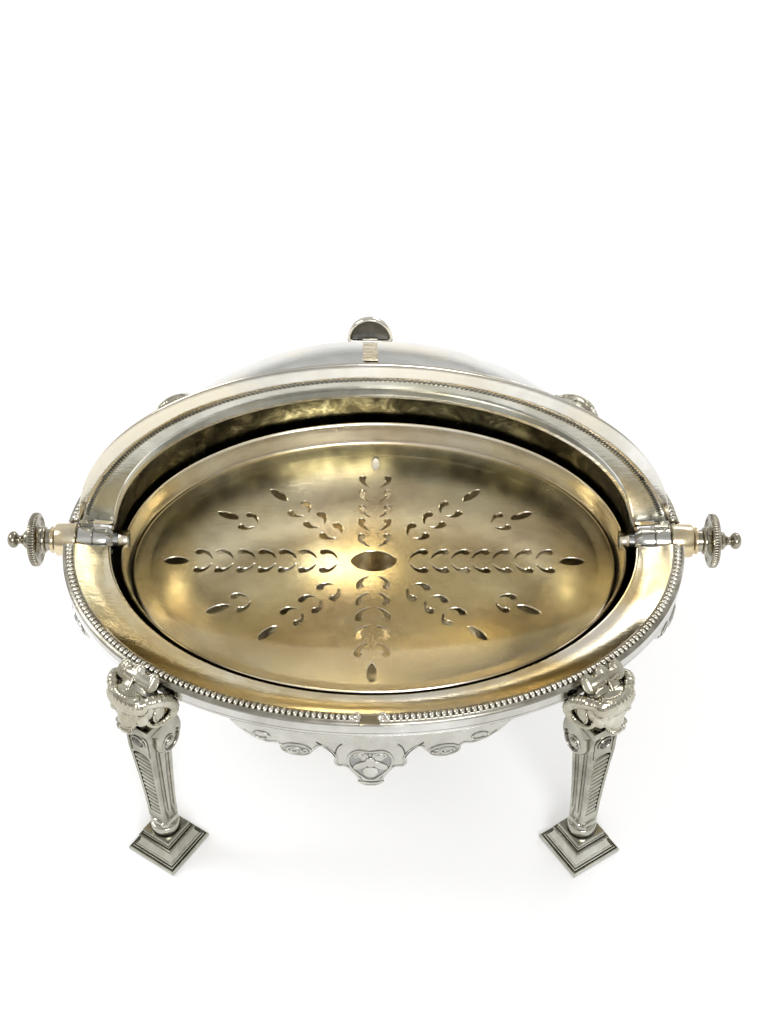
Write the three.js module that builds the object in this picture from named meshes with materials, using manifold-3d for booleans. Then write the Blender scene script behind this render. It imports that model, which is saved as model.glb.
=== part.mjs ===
// Revolving butter dish on four ram's head legs, silver plated, lid rolled open.
// Millimetres. X runs along the dish, -Y is the front, Z is up, the feet stand on Z = 0.

import * as THREE from 'three';
import { mergeVertices } from 'three/addons/utils/BufferGeometryUtils.js';
import Module from 'manifold-3d';

const wasm = await Module();
wasm.setup();

// Heights of the rim and of the lid's axis above the table
const RIM_HEIGHT = 105;
const PIVOT_DROP = 4.4;
const LID_OPENING = -86.7;

// Fits
const SEAT_GAP = 0.3;
const RUNNING_GAP = 0.25;
const SWING_GAP = 0.9;

// Beaded rim: half length, half width and how much fuller than an ellipse it is
const RIM_HALF_LENGTH = 120;
const RIM_HALF_WIDTH = 92.3;
const RIM_FULLNESS = 2.07;
const BEAD_HALF_WIDTH = 1.7;
const STRIP_OUTSTAND = 2.8;
const BAND_TOP_DROP = 1.3;
const BAND_BOTTOM_DROP = 7.2;
const BAND_THICKNESS = 1.4;
const NOTCH_WIDTH = 7.4;

// Cove inside the beads, wider at the ends than in front
const COVE_END_WIDTH = 15.4;
const COVE_FRONT_WIDTH = 11.7;
const COVE_DROP = 1.7;
const COVE_THICKNESS = 1.2;

// Lid and bowl are half spheroids about the lid's axis, set off from the inner edge of the cove
const LID_CLEARANCE = 1.2;
const BOWL_END_SETBACK = 0.5;
const BOWL_FRONT_SETBACK = 1;
const SHELL_WALL = 1.2;

// Brim on the front half of the lid: how far inside the bead line it ends, and the width of its flat band
const BRIM_END_INSET = 2;
const BRIM_FRONT_INSET = 2.3;
const BRIM_END_BAND = 3.5;
const BRIM_FRONT_BAND = 7.5;
const BRIM_START = 3.2;
const BRIM_STEP = 4.1;
const BRIM_EDGE = 5.2;
const BRIM_THICKNESS = 1;

// Hinge at each end, from the turning knob in to the pin
const NECK_AND_BALL_LENGTH = 10;
const FINIAL_BALL_RADIUS = 3.4;
const FINIAL_BALL_HALF_LENGTH = 2.4;
const FINIAL_NECK_RADIUS = 1.7;
const DISC_RADIUS = 10.85;
const DISC_WIDTH = 3.2;
const DISC_STANDOFF = 4.7;
const DISC_HOLLOW = 3.4;
const BARREL_RADIUS = 6.7;
const BARREL_LENGTH = 10.55;
const BARREL_INSET = 1.85;
const KNUCKLE_RADIUS = 5.3;
const LID_KNUCKLE_LENGTH = 6;
const INNER_KNUCKLE_LENGTH = 7.65;
const INNER_KNUCKLE_TAPER = 2.5;
const PIN_RADIUS = 2.5;

// Thumb-piece in the middle of the brim
const STEM_WIDTH = 5.6;
const STEM_THICKNESS = 1.4;
const STEM_OVERLAP = 3.5;
const THUMB_OUTSTAND = 20;
const THUMB_WIDTH = 16.1;
const THUMB_THICKNESS = 2.4;

// Liner inside the lid's path, and its pierced drainer
const LINER_END_GAP = 2.4;
const LINER_FRONT_GAP = 4.4;
const LINER_DEPTH = 38;
const LINER_WALL = 1;
const LINER_TOP = -7.3;
const DRAINER_END_INSET = 4;
const DRAINER_FRONT_INSET = 4.5;
const DRAINER_BORDER = 6.5;
const DRAINER_THICKNESS = 1;
const DRAINER_TOP_DROP = 16.4;
const LUG_RADIUS = 4;
const LUG_THICKNESS = 1.4;
const LUG_SETBACK = 1.8;
const PIN_PAST_LUG = 0.2;

// Legs: where the foot stands inside the bead line, and which way its outer face looks
const LEG_END_INSET = 36;
const LEG_FRONT_INSET = 16.7;
const LEG_TURN = 33.4;
const PLINTH_SIDE = 23.1;
const PLINTH_HEIGHT = 13;
const PLINTH_TOP_SIDE = 13.2;
const COLLAR_HEIGHT = 8.4;
const DRUM_HEIGHT = 4.6;
const COLLAR_RADIUS = 5.8;
const SHAFT_FOOT_SIDE = 7.9;
const SHAFT_HEAD_SIDE = 11.4;
const CAPITAL_SIDE = 15.4;
const CAPITAL_HEIGHT = 18;
const SCROLL_RADIUS = 6.6;
const REED_COUNT = 12;
const HEAD_HEIGHT = 18.5;

// Pierced scroll aprons below the rim
const APRON_THICKNESS = 1.8;
const APRON_TILT = 0.05;

// Facets round the rim, the shells and the hinge
const RIM_FACETS = 64;
const SHELL_FACETS = 30;
const HINGE_FACETS = 16;

const PIVOT_HEIGHT = RIM_HEIGHT - PIVOT_DROP;
const BORE_RADIUS = PIN_RADIUS + RUNNING_GAP;
const COVE_INNER_LENGTH = RIM_HALF_LENGTH - COVE_END_WIDTH;
const COVE_INNER_WIDTH = RIM_HALF_WIDTH - COVE_FRONT_WIDTH;
const BOWL_HALF_LENGTH = COVE_INNER_LENGTH + BOWL_END_SETBACK;
const BOWL_RADIUS = COVE_INNER_WIDTH + BOWL_FRONT_SETBACK;
const LID_HALF_LENGTH = COVE_INNER_LENGTH - LID_CLEARANCE;
const LID_RADIUS = COVE_INNER_WIDTH - LID_CLEARANCE;
const BRIM_HALF_LENGTH = RIM_HALF_LENGTH - BRIM_END_INSET;
const BRIM_HALF_WIDTH = RIM_HALF_WIDTH - BRIM_FRONT_INSET;
const LINER_HALF_LENGTH = LID_HALF_LENGTH - LINER_END_GAP;
const LINER_HALF_WIDTH = LID_RADIUS - LINER_FRONT_GAP;
const DRAINER_HALF_LENGTH = LINER_HALF_LENGTH - DRAINER_END_INSET;
const DRAINER_HALF_WIDTH = LINER_HALF_WIDTH - DRAINER_FRONT_INSET;
const BARREL_INNER = RIM_HALF_LENGTH - BARREL_INSET;
const BARREL_OUTER = BARREL_INNER + BARREL_LENGTH;
const DISC_INNER = BARREL_OUTER + DISC_STANDOFF;
const DISC_OUTER = DISC_INNER + DISC_WIDTH;
const FINIAL_END = DISC_OUTER + NECK_AND_BALL_LENGTH;
const LID_KNUCKLE_OUTER = BARREL_INNER - SEAT_GAP;
const LID_KNUCKLE_INNER = LID_KNUCKLE_OUTER - LID_KNUCKLE_LENGTH;
const INNER_KNUCKLE_OUTER = LID_KNUCKLE_INNER - SEAT_GAP;
const INNER_KNUCKLE_END = INNER_KNUCKLE_OUTER - INNER_KNUCKLE_LENGTH;
const LUG_OUTER = LINER_HALF_LENGTH - LUG_SETBACK;
const PIN_END = LUG_OUTER - LUG_THICKNESS - PIN_PAST_LUG;
const STRIP_OUTER_LENGTH = RIM_HALF_LENGTH + STRIP_OUTSTAND;
const STRIP_OUTER_WIDTH = RIM_HALF_WIDTH + STRIP_OUTSTAND;
const BAND_OUTER_LENGTH = STRIP_OUTER_LENGTH - 0.2;
const BAND_OUTER_WIDTH = STRIP_OUTER_WIDTH - 0.2;

function metal(colour, roughness) {
  return new THREE.MeshStandardMaterial({ color: colour, roughness, metalness: 1 });
}

const SILVER = () => metal(0xc9c8c2, 0.25);
const CAST_SILVER = () => metal(0xb4b0a2, 0.35);
const GILT_SILVER = () => metal(0xc6a66a, 0.25);
const STEEL = () => metal(0x9a9a98, 0.4);

function toSolid(geometry) {
  const bare = geometry.clone();
  bare.deleteAttribute('normal');
  bare.deleteAttribute('uv');
  const merged = mergeVertices(bare, 0.0005);
  const places = merged.attributes.position;
  const corners = [];
  let volume = 0;
  const [a, b, c] = [new THREE.Vector3(), new THREE.Vector3(), new THREE.Vector3()];
  for (let i = 0; i < merged.index.count; i += 3) {
    const [p, q, r] = [0, 1, 2].map((k) => merged.index.getX(i + k));
    if (p === q || q === r || r === p) continue;
    corners.push(p, q, r);
    a.fromBufferAttribute(places, p);
    b.fromBufferAttribute(places, q);
    c.fromBufferAttribute(places, r);
    volume += a.dot(b.cross(c));
  }
  if (volume < 0) corners.reverse();
  return new wasm.Manifold(new wasm.Mesh({
    numProp: 3,
    vertProperties: Float32Array.from(places.array),
    triVerts: Uint32Array.from(corners),
  }));
}

function toGeometry(solid) {
  const mesh = solid.getMesh();
  const geometry = new THREE.BufferGeometry();
  geometry.setAttribute('position', new THREE.BufferAttribute(Float32Array.from(mesh.vertProperties), 3));
  geometry.setIndex(Array.from(mesh.triVerts));
  geometry.computeVertexNormals();
  return geometry;
}

function piece(name, solid, material) {
  const mesh = new THREE.Mesh(toGeometry(solid), material);
  mesh.name = name;
  return mesh;
}

function join(solids) {
  return solids.reduce((sum, next) => sum.add(next));
}

function block(x0, x1, y0, y1, z0, z1) {
  const box = new THREE.BoxGeometry(x1 - x0, y1 - y0, z1 - z0);
  box.translate((x0 + x1) / 2, (y0 + y1) / 2, (z0 + z1) / 2);
  return toSolid(box);
}

function ball(centre, radii, around = 12, down = 8) {
  const sphere = new THREE.SphereGeometry(1, around, down);
  sphere.rotateX(Math.PI / 2);
  sphere.scale(...radii);
  sphere.translate(...centre);
  return toSolid(sphere);
}

// A rounded power of a sine or cosine, which draws an oval fuller than an ellipse
function fuller(value, fullness) {
  return Math.sign(value) * Math.abs(value) ** (2 / fullness);
}

// An oval ring or dish. Each profile point is [half length, half width, height, fullness].
// A profile that starts on the axis makes a dish; any other closes on itself.
function ovalTurned(profile, segments) {
  const points = profile.map(([, width, height]) => new THREE.Vector2(width, height));
  const closed = profile[0][1] > 0;
  if (closed) points.push(points[0].clone());
  const lathe = new THREE.LatheGeometry(points, segments);
  const places = lathe.attributes.position;
  for (let i = 0; i < places.count; i += 1) {
    const column = Math.floor(i / points.length);
    const [length, width, , fullness = 2] = profile[(i % points.length) % profile.length];
    const angle = (column % segments) * 2 * Math.PI / segments;
    places.setX(i, length * fuller(Math.sin(angle), fullness));
    places.setZ(i, width * fuller(Math.cos(angle), fullness));
  }
  lathe.rotateX(Math.PI / 2);
  return toSolid(lathe);
}

// Round work turned about the X axis. Each profile point is [place along X, radius].
function turnedAlongX(profile, segments) {
  const points = profile.map(([along, radius]) => new THREE.Vector2(radius, along));
  if (profile[0][1] > 0) points.push(points[0].clone());
  const lathe = new THREE.LatheGeometry(points, segments);
  lathe.rotateZ(-Math.PI / 2);
  return toSolid(lathe);
}

// Square work, turned in four sides. Each profile point is [half side, height].
function squareTurned(profile) {
  const points = profile.map(([half, height]) => new THREE.Vector2(half * Math.SQRT2, height));
  const lathe = new THREE.LatheGeometry(points, 4, Math.PI / 4);
  lathe.rotateX(Math.PI / 2);
  return toSolid(lathe);
}

function roundTurned(profile, segments) {
  const points = profile.map(([radius, height]) => new THREE.Vector2(radius, height));
  const lathe = new THREE.LatheGeometry(points, segments);
  lathe.rotateX(Math.PI / 2);
  return toSolid(lathe);
}

function rodAlongX(x0, x1, radius, segments = 24) {
  return turnedAlongX([[x0, 0], [x0, radius], [x1, radius], [x1, 0]], segments);
}

function spheroid(halfLength, radius, extra = 0) {
  const sphere = new THREE.SphereGeometry(1, SHELL_FACETS, SHELL_FACETS / 2);
  sphere.rotateZ(Math.PI / 2);
  sphere.scale(halfLength + extra, radius + extra, radius + extra);
  return toSolid(sphere);
}

// A block that takes in everything on one side of an edge, in Y
function allBeyond(side, edge = 0) {
  const far = 2 * RIM_HALF_LENGTH;
  return block(-far, far, Math.min(edge, side * far), Math.max(edge, side * far), -far, far);
}

function rodAlongHinge(radius) {
  return rodAlongX(-1.3 * RIM_HALF_LENGTH, 1.3 * RIM_HALF_LENGTH, radius);
}

// Bowl and rim

function outerBowl() {
  const hollow = spheroid(BOWL_HALF_LENGTH, BOWL_RADIUS);
  const shell = spheroid(BOWL_HALF_LENGTH, BOWL_RADIUS, SHELL_WALL).subtract(hollow);
  const top = PIVOT_DROP - COVE_DROP - COVE_THICKNESS - SEAT_GAP + 0.1;
  const far = 2 * RIM_HALF_LENGTH;
  const above = block(-far, far, -far, far, top, far);
  const knuckleGap = rodAlongHinge(KNUCKLE_RADIUS + SEAT_GAP);
  return shell.subtract(above).subtract(knuckleGap).translate([0, 0, PIVOT_HEIGHT]);
}

function rimCove(side) {
  const outerLength = RIM_HALF_LENGTH - BEAD_HALF_WIDTH - SEAT_GAP;
  const outerWidth = RIM_HALF_WIDTH - BEAD_HALF_WIDTH - SEAT_GAP;
  const profile = [];
  const steps = 3;
  for (let i = 0; i <= steps; i += 1) {
    const share = i / steps;
    profile.push([
      COVE_INNER_LENGTH + share * (outerLength - COVE_INNER_LENGTH),
      COVE_INNER_WIDTH + share * (outerWidth - COVE_INNER_WIDTH),
      -COVE_DROP * (1 - share * share),
      2 + share * (RIM_FULLNESS - 2),
    ]);
  }
  profile.push([outerLength, outerWidth, -COVE_THICKNESS, RIM_FULLNESS]);
  profile.push([COVE_INNER_LENGTH, COVE_INNER_WIDTH, -COVE_DROP - COVE_THICKNESS]);
  const ring = ovalTurned(profile, RIM_FACETS).translate([0, 0, RIM_HEIGHT]);
  return ring.subtract(allBeyond(-side, (KNUCKLE_RADIUS + SWING_GAP) * side));
}

function beadStrip() {
  const inner = BEAD_HALF_WIDTH;
  return ovalTurned([
    [RIM_HALF_LENGTH - inner, RIM_HALF_WIDTH - inner, 0, RIM_FULLNESS],
    [RIM_HALF_LENGTH - 0.9, RIM_HALF_WIDTH - 0.9, 1.2, RIM_FULLNESS],
    [RIM_HALF_LENGTH + 0.9, RIM_HALF_WIDTH + 0.9, 1.2, RIM_FULLNESS],
    [RIM_HALF_LENGTH + inner, RIM_HALF_WIDTH + inner, 0, RIM_FULLNESS],
    [STRIP_OUTER_LENGTH, STRIP_OUTER_WIDTH, -0.3, RIM_FULLNESS],
    [STRIP_OUTER_LENGTH, STRIP_OUTER_WIDTH, SEAT_GAP - BAND_TOP_DROP, RIM_FULLNESS],
    [RIM_HALF_LENGTH - inner, RIM_HALF_WIDTH - inner, SEAT_GAP - BAND_TOP_DROP, RIM_FULLNESS],
  ], RIM_FACETS).translate([0, 0, RIM_HEIGHT]);
}

function barrelGap() {
  return rodAlongHinge(BARREL_RADIUS + SEAT_GAP).translate([0, 0, PIVOT_HEIGHT]);
}

function rearBeads() {
  return beadStrip().subtract(barrelGap()).subtract(allBeyond(-1));
}

function frontBeads(side) {
  const notch = side * NOTCH_WIDTH / 2;
  const far = 2 * RIM_HALF_LENGTH;
  const other = block(Math.min(notch, -side * far), Math.max(notch, -side * far), -far, far, -far, far);
  return beadStrip().subtract(barrelGap()).subtract(allBeyond(1)).subtract(other);
}

function rimBand(side) {
  const inLength = BAND_OUTER_LENGTH - BAND_THICKNESS;
  const inWidth = BAND_OUTER_WIDTH - BAND_THICKNESS;
  const ring = ovalTurned([
    [BAND_OUTER_LENGTH, BAND_OUTER_WIDTH, -BAND_TOP_DROP, RIM_FULLNESS],
    [BAND_OUTER_LENGTH, BAND_OUTER_WIDTH, -BAND_BOTTOM_DROP, RIM_FULLNESS],
    [inLength, inWidth, -BAND_BOTTOM_DROP, RIM_FULLNESS],
    [inLength, inWidth, -BAND_TOP_DROP, RIM_FULLNESS],
  ], RIM_FACETS).translate([0, 0, RIM_HEIGHT]);
  return ring.subtract(barrelGap()).subtract(allBeyond(-side));
}

// Aprons: half of the lower outline, from the middle out, as [distance along the rim, drop]
const APRON_EDGE = [
  [0, 40.3], [2.6, 40], [4.6, 38], [4.9, 35], [7, 30.5], [9.2, 27.4], [12.4, 27.6], [13.4, 25.7], [13, 22.2],
  [14.5, 19.3], [16, 17], [18.2, 15.8], [20.4, 18.2], [22.6, 21], [26.4, 22.6], [30.4, 21.2], [33.2, 17.6],
  [34.4, 16.4], [37.8, 17.6], [42.2, 16.4], [46.4, 13.8], [49.4, 10.6], [52, 8.2],
];

// Where a point on the band's face lies, a distance round from one of its four middles
function roundTheBand(middle, distance) {
  const at = (angle) => new THREE.Vector2(
    BAND_OUTER_LENGTH * fuller(Math.sin(angle), RIM_FULLNESS),
    -BAND_OUTER_WIDTH * fuller(Math.cos(angle), RIM_FULLNESS),
  );
  const step = 0.004;
  const side = distance < 0 ? -1 : 1;
  let angle = middle;
  let run = at(angle).distanceTo(at(angle + side * step));
  let left = Math.abs(distance);
  while (left > run) {
    left -= run;
    angle += side * step;
    run = at(angle).distanceTo(at(angle + side * step));
  }
  angle += side * step * left / run;
  const along = at(angle + step).sub(at(angle - step)).normalize();
  return { place: at(angle), outward: new THREE.Vector2(along.y, -along.x) };
}

function bentOnBand(geometry, middle) {
  const places = geometry.attributes.position;
  for (let i = 0; i < places.count; i += 1) {
    const { place, outward } = roundTheBand(middle, places.getX(i));
    const out = places.getZ(i) - APRON_THICKNESS + APRON_TILT * places.getY(i);
    places.setXYZ(i, place.x + outward.x * out, place.y + outward.y * out, RIM_HEIGHT + places.getY(i));
  }
  return toSolid(geometry);
}

function apron(middle) {
  const top = -BAND_BOTTOM_DROP - SEAT_GAP;
  const shape = new THREE.Shape();
  const end = APRON_EDGE[APRON_EDGE.length - 1][0];
  shape.moveTo(-end, top);
  APRON_EDGE.slice(1).reverse().forEach(([along, drop]) => shape.lineTo(-along, -drop));
  APRON_EDGE.forEach(([along, drop]) => shape.lineTo(along, -drop));
  const spans = 10;
  for (let i = 0; i < spans; i += 1) shape.lineTo(end - 2 * end * i / spans, top);
  const plate = new THREE.ExtrudeGeometry(shape, { depth: APRON_THICKNESS, bevelEnabled: false });
  const raised = [[0, -24, 7.4, 9.6], [-26.4, -15, 5, 4.8], [26.4, -15, 5, 4.8]];
  const bosses = raised.map(([along, height, across, tall]) => {
    const boss = new THREE.CylinderGeometry(0.8, 1, 1, 10);
    boss.rotateX(Math.PI / 2);
    boss.scale(across, tall, 1.6);
    boss.translate(along, height, APRON_THICKNESS);
    return bentOnBand(boss, middle);
  });
  return join([bentOnBand(plate, middle), ...bosses]).subtract(barrelGap());
}

// Hinge at the right-hand end; the left-hand one is its mirror image

function mirrored(solid, side) {
  return side > 0 ? solid : solid.mirror([1, 0, 0]);
}

function bored(profile) {
  const first = profile[0][0];
  const last = profile[profile.length - 1][0];
  return turnedAlongX([...profile, [last, BORE_RADIUS], [first, BORE_RADIUS]], HINGE_FACETS);
}

function barrel(side) {
  const shape = bored([
    [BARREL_INNER, BARREL_RADIUS - 0.6], [BARREL_INNER + 0.8, BARREL_RADIUS],
    [BARREL_OUTER - 2.4, BARREL_RADIUS],
    [BARREL_OUTER - 1.2, BARREL_RADIUS - 1.6], [BARREL_OUTER, BARREL_RADIUS - 1.2],
  ]);
  return mirrored(shape, side).translate([0, 0, PIVOT_HEIGHT]);
}

function innerKnuckle(side) {
  const shape = bored([
    [INNER_KNUCKLE_END, KNUCKLE_RADIUS - 1.9], [INNER_KNUCKLE_END + INNER_KNUCKLE_TAPER, KNUCKLE_RADIUS],
    [INNER_KNUCKLE_OUTER - 0.4, KNUCKLE_RADIUS], [INNER_KNUCKLE_OUTER, KNUCKLE_RADIUS - 0.4],
  ]);
  return mirrored(shape, side).translate([0, 0, PIVOT_HEIGHT]);
}

function finial(side) {
  const seat = BARREL_OUTER + SEAT_GAP;
  const profile = [
    [seat, 0], [seat, BARREL_RADIUS - 2.1], [seat + 1.6, BARREL_RADIUS - 2.3],
    [DISC_INNER - 1.6, BARREL_RADIUS - 1.3], [DISC_INNER + 0.9, DISC_RADIUS - DISC_HOLLOW],
    [DISC_INNER, DISC_RADIUS - 1.3], [DISC_INNER + 0.4, DISC_RADIUS - 0.3], [DISC_INNER + 1.1, DISC_RADIUS],
    [DISC_OUTER - 0.9, DISC_RADIUS], [DISC_OUTER, DISC_RADIUS - 0.8], [DISC_OUTER + 0.4, DISC_RADIUS - 3.6],
    [DISC_OUTER + 2.4, 2 * FINIAL_NECK_RADIUS], [DISC_OUTER + 4.4, FINIAL_NECK_RADIUS],
  ];
  const ballPlace = FINIAL_END - FINIAL_BALL_HALF_LENGTH;
  const turns = 4;
  for (let i = 0; i <= turns; i += 1) {
    const angle = Math.PI * (0.78 - 0.78 * i / turns);
    const along = ballPlace + FINIAL_BALL_HALF_LENGTH * Math.cos(angle);
    profile.push([along, FINIAL_BALL_RADIUS * Math.sin(angle)]);
  }
  profile[profile.length - 1][1] = 0;
  const rod = rodAlongX(BARREL_OUTER, seat + 0.5, PIN_RADIUS + SEAT_GAP);
  return mirrored(turnedAlongX(profile, 18).subtract(rod), side).translate([0, 0, PIVOT_HEIGHT]);
}

function pivotPin(side) {
  const pin = rodAlongX(PIN_END, BARREL_OUTER + 0.4, PIN_RADIUS, HINGE_FACETS);
  return mirrored(pin, side).translate([0, 0, PIVOT_HEIGHT]);
}

// Lid, drawn shut with its axis on the X axis

function lidDome() {
  const shell = spheroid(LID_HALF_LENGTH - SHELL_WALL, LID_RADIUS - SHELL_WALL, SHELL_WALL)
    .subtract(spheroid(LID_HALF_LENGTH - SHELL_WALL, LID_RADIUS - SHELL_WALL));
  const far = 2 * RIM_HALF_LENGTH;
  const below = block(-far, far, -far, far, -far, 0);
  return shell.subtract(below).subtract(rodAlongHinge(PIN_RADIUS + 2 * SEAT_GAP));
}

function lidBrim() {
  const length = LID_HALF_LENGTH + SEAT_GAP;
  const width = LID_RADIUS + SEAT_GAP;
  const stepLength = BRIM_HALF_LENGTH - BRIM_END_BAND;
  const stepWidth = BRIM_HALF_WIDTH - BRIM_FRONT_BAND;
  const ring = ovalTurned([
    [length, width, BRIM_START],
    [stepLength, stepWidth, BRIM_STEP],
    [BRIM_HALF_LENGTH, BRIM_HALF_WIDTH, BRIM_EDGE],
    [BRIM_HALF_LENGTH, BRIM_HALF_WIDTH, BRIM_EDGE + BRIM_THICKNESS],
    [stepLength, stepWidth, BRIM_STEP + BRIM_THICKNESS],
    [length, width, BRIM_START + BRIM_THICKNESS],
  ], RIM_FACETS);
  const far = 2 * RIM_HALF_LENGTH;
  const between = LID_KNUCKLE_INNER;
  const pastInnerKnuckle = block(-between, between, -KNUCKLE_RADIUS - 2, far, -far, far);
  return ring.subtract(allBeyond(1, -KNUCKLE_RADIUS - SEAT_GAP)).subtract(pastInnerKnuckle);
}

function lidKnuckle(side) {
  const tube = bored([[LID_KNUCKLE_INNER, KNUCKLE_RADIUS], [LID_KNUCKLE_OUTER, KNUCKLE_RADIUS]]);
  const [low, high] = [KNUCKLE_RADIUS - 1.2, KNUCKLE_RADIUS];
  const leaf = block(LID_KNUCKLE_INNER, LID_KNUCKLE_OUTER, -KNUCKLE_RADIUS, 0, low, high);
  return mirrored(tube.add(leaf), side);
}

function thumbPiece() {
  const shape = new THREE.Shape();
  const half = THUMB_WIDTH / 2;
  const reach = BRIM_HALF_WIDTH + THUMB_OUTSTAND;
  const shoulder = reach - 9.5;
  shape.moveTo(-STEM_WIDTH / 2, BRIM_HALF_WIDTH - STEM_OVERLAP);
  shape.lineTo(STEM_WIDTH / 2, BRIM_HALF_WIDTH - STEM_OVERLAP);
  shape.lineTo(STEM_WIDTH / 2, shoulder);
  shape.quadraticCurveTo(half, shoulder - 1.4, half, shoulder + 2.6);
  shape.quadraticCurveTo(half - 0.6, reach, 0, reach);
  shape.quadraticCurveTo(-half + 0.6, reach, -half, shoulder + 2.6);
  shape.quadraticCurveTo(-half, shoulder - 1.4, -STEM_WIDTH / 2, shoulder);
  const outline = { depth: STEM_THICKNESS, bevelEnabled: false, curveSegments: 4 };
  const plate = new THREE.ExtrudeGeometry(shape, outline);
  plate.rotateZ(Math.PI);
  const pad = ball([0, -reach + 5.6, 1.2], [half - 0.8, 4.6, THUMB_THICKNESS / 2 + 0.4], 14, 6);
  const hollow = ball([0, -reach + 5.6, -1.5], [half - 2.2, 3.6, 2.2], 12, 6);
  const overBrim = BRIM_EDGE + BRIM_THICKNESS + SEAT_GAP;
  return toSolid(plate).add(pad).subtract(hollow).translate([0, 0, overBrim]);
}

// Liner that hangs between the pins, and the drainer that lifts out of it

function liner() {
  const ledge = DRAINER_TOP_DROP + 0.6;
  const [length, width] = [LINER_HALF_LENGTH, LINER_HALF_WIDTH];
  return ovalTurned([
    [0, 0, -LINER_DEPTH],
    [0.51 * length, 0.48 * width, 2 - LINER_DEPTH],
    [length - 15, width - 16, 13 - LINER_DEPTH],
    [length - 8.5, width - 9, -ledge - 0.8],
    [length - 3.4, width - 3.9, -ledge],
    [length - LINER_WALL, width - LINER_WALL, LINER_TOP],
    [length, width, LINER_TOP],
    [length - 2.3, width - 2.8, -ledge - LINER_WALL],
    [length - 7.6, width - 8.1, -ledge - 0.9 - LINER_WALL],
    [length - 14, width - 15, 13 - LINER_DEPTH - LINER_WALL],
    [0.51 * length, 0.48 * width, 2 - LINER_DEPTH - LINER_WALL],
    [0, 0, -LINER_DEPTH - LINER_WALL],
  ], 44).translate([0, 0, RIM_HEIGHT]);
}

function hangerLug(side) {
  const inner = LUG_OUTER - LUG_THICKNESS;
  const disc = turnedAlongX([
    [inner, LUG_RADIUS], [LUG_OUTER, LUG_RADIUS], [LUG_OUTER, BORE_RADIUS], [inner, BORE_RADIUS],
  ], HINGE_FACETS);
  return mirrored(disc, side).translate([0, 0, PIVOT_HEIGHT]);
}

// A comma: a round head with a tail that curls away to a point at [along, across]
function comma(centre, along, across, headRadius) {
  const points = [];
  const lean = Math.sign(across) || 1;
  const angles = [90, 30, -30, -90];
  angles.forEach((degrees) => {
    const angle = degrees * Math.PI / 180;
    points.push([headRadius * Math.cos(angle), headRadius * Math.sin(angle)]);
  });
  const tip = [-Math.abs(along), -Math.abs(across)];
  const curve = (from, by, to, share) => [0, 1].map((k) => (
    (1 - share) ** 2 * from[k] + 2 * share * (1 - share) * by[k] + share ** 2 * to[k]
  ));
  [0.5].forEach((share) => points.push(curve([-0.4, -headRadius], [-2.4, -headRadius], tip, share)));
  points.push(tip);
  const bend = [-0.62 * Math.abs(along), headRadius];
  [0.3, 0.65].forEach((share) => points.push(curve(tip, bend, [-0.3, headRadius], share)));
  const turned = along < 0 ? -1 : 1;
  return points.map(([u, v]) => [centre[0] + u * turned, centre[1] + v * lean]);
}

// A pointed oval leaf between two tips
function leaf(from, to, width) {
  const points = [];
  const middle = [(from[0] + to[0]) / 2, (from[1] + to[1]) / 2];
  const half = Math.hypot(to[0] - from[0], to[1] - from[1]) / 2;
  const direction = [(to[0] - from[0]) / (2 * half), (to[1] - from[1]) / (2 * half)];
  const steps = 3;
  for (let i = 0; i < 2 * steps; i += 1) {
    const angle = Math.PI * i / steps;
    const u = half * Math.cos(angle);
    const v = width / 2 * Math.sin(angle) * Math.abs(Math.sin(angle)) ** 0.35;
    const [across, back] = direction;
    points.push([middle[0] + u * across - v * back, middle[1] + u * back + v * across]);
  }
  return points;
}

// Turns and moves an outline
function placed(points, angle, centre) {
  const [c, s] = [Math.cos(angle), Math.sin(angle)];
  return points.map(([x, y]) => [centre[0] + x * c - y * s, centre[1] + x * s + y * c]);
}

// The pattern is drawn for a plate of this size and follows the plate
const PATTERN_HALF_LENGTH = 97;
const PATTERN_HALF_WIDTH = 70.5;

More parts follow.
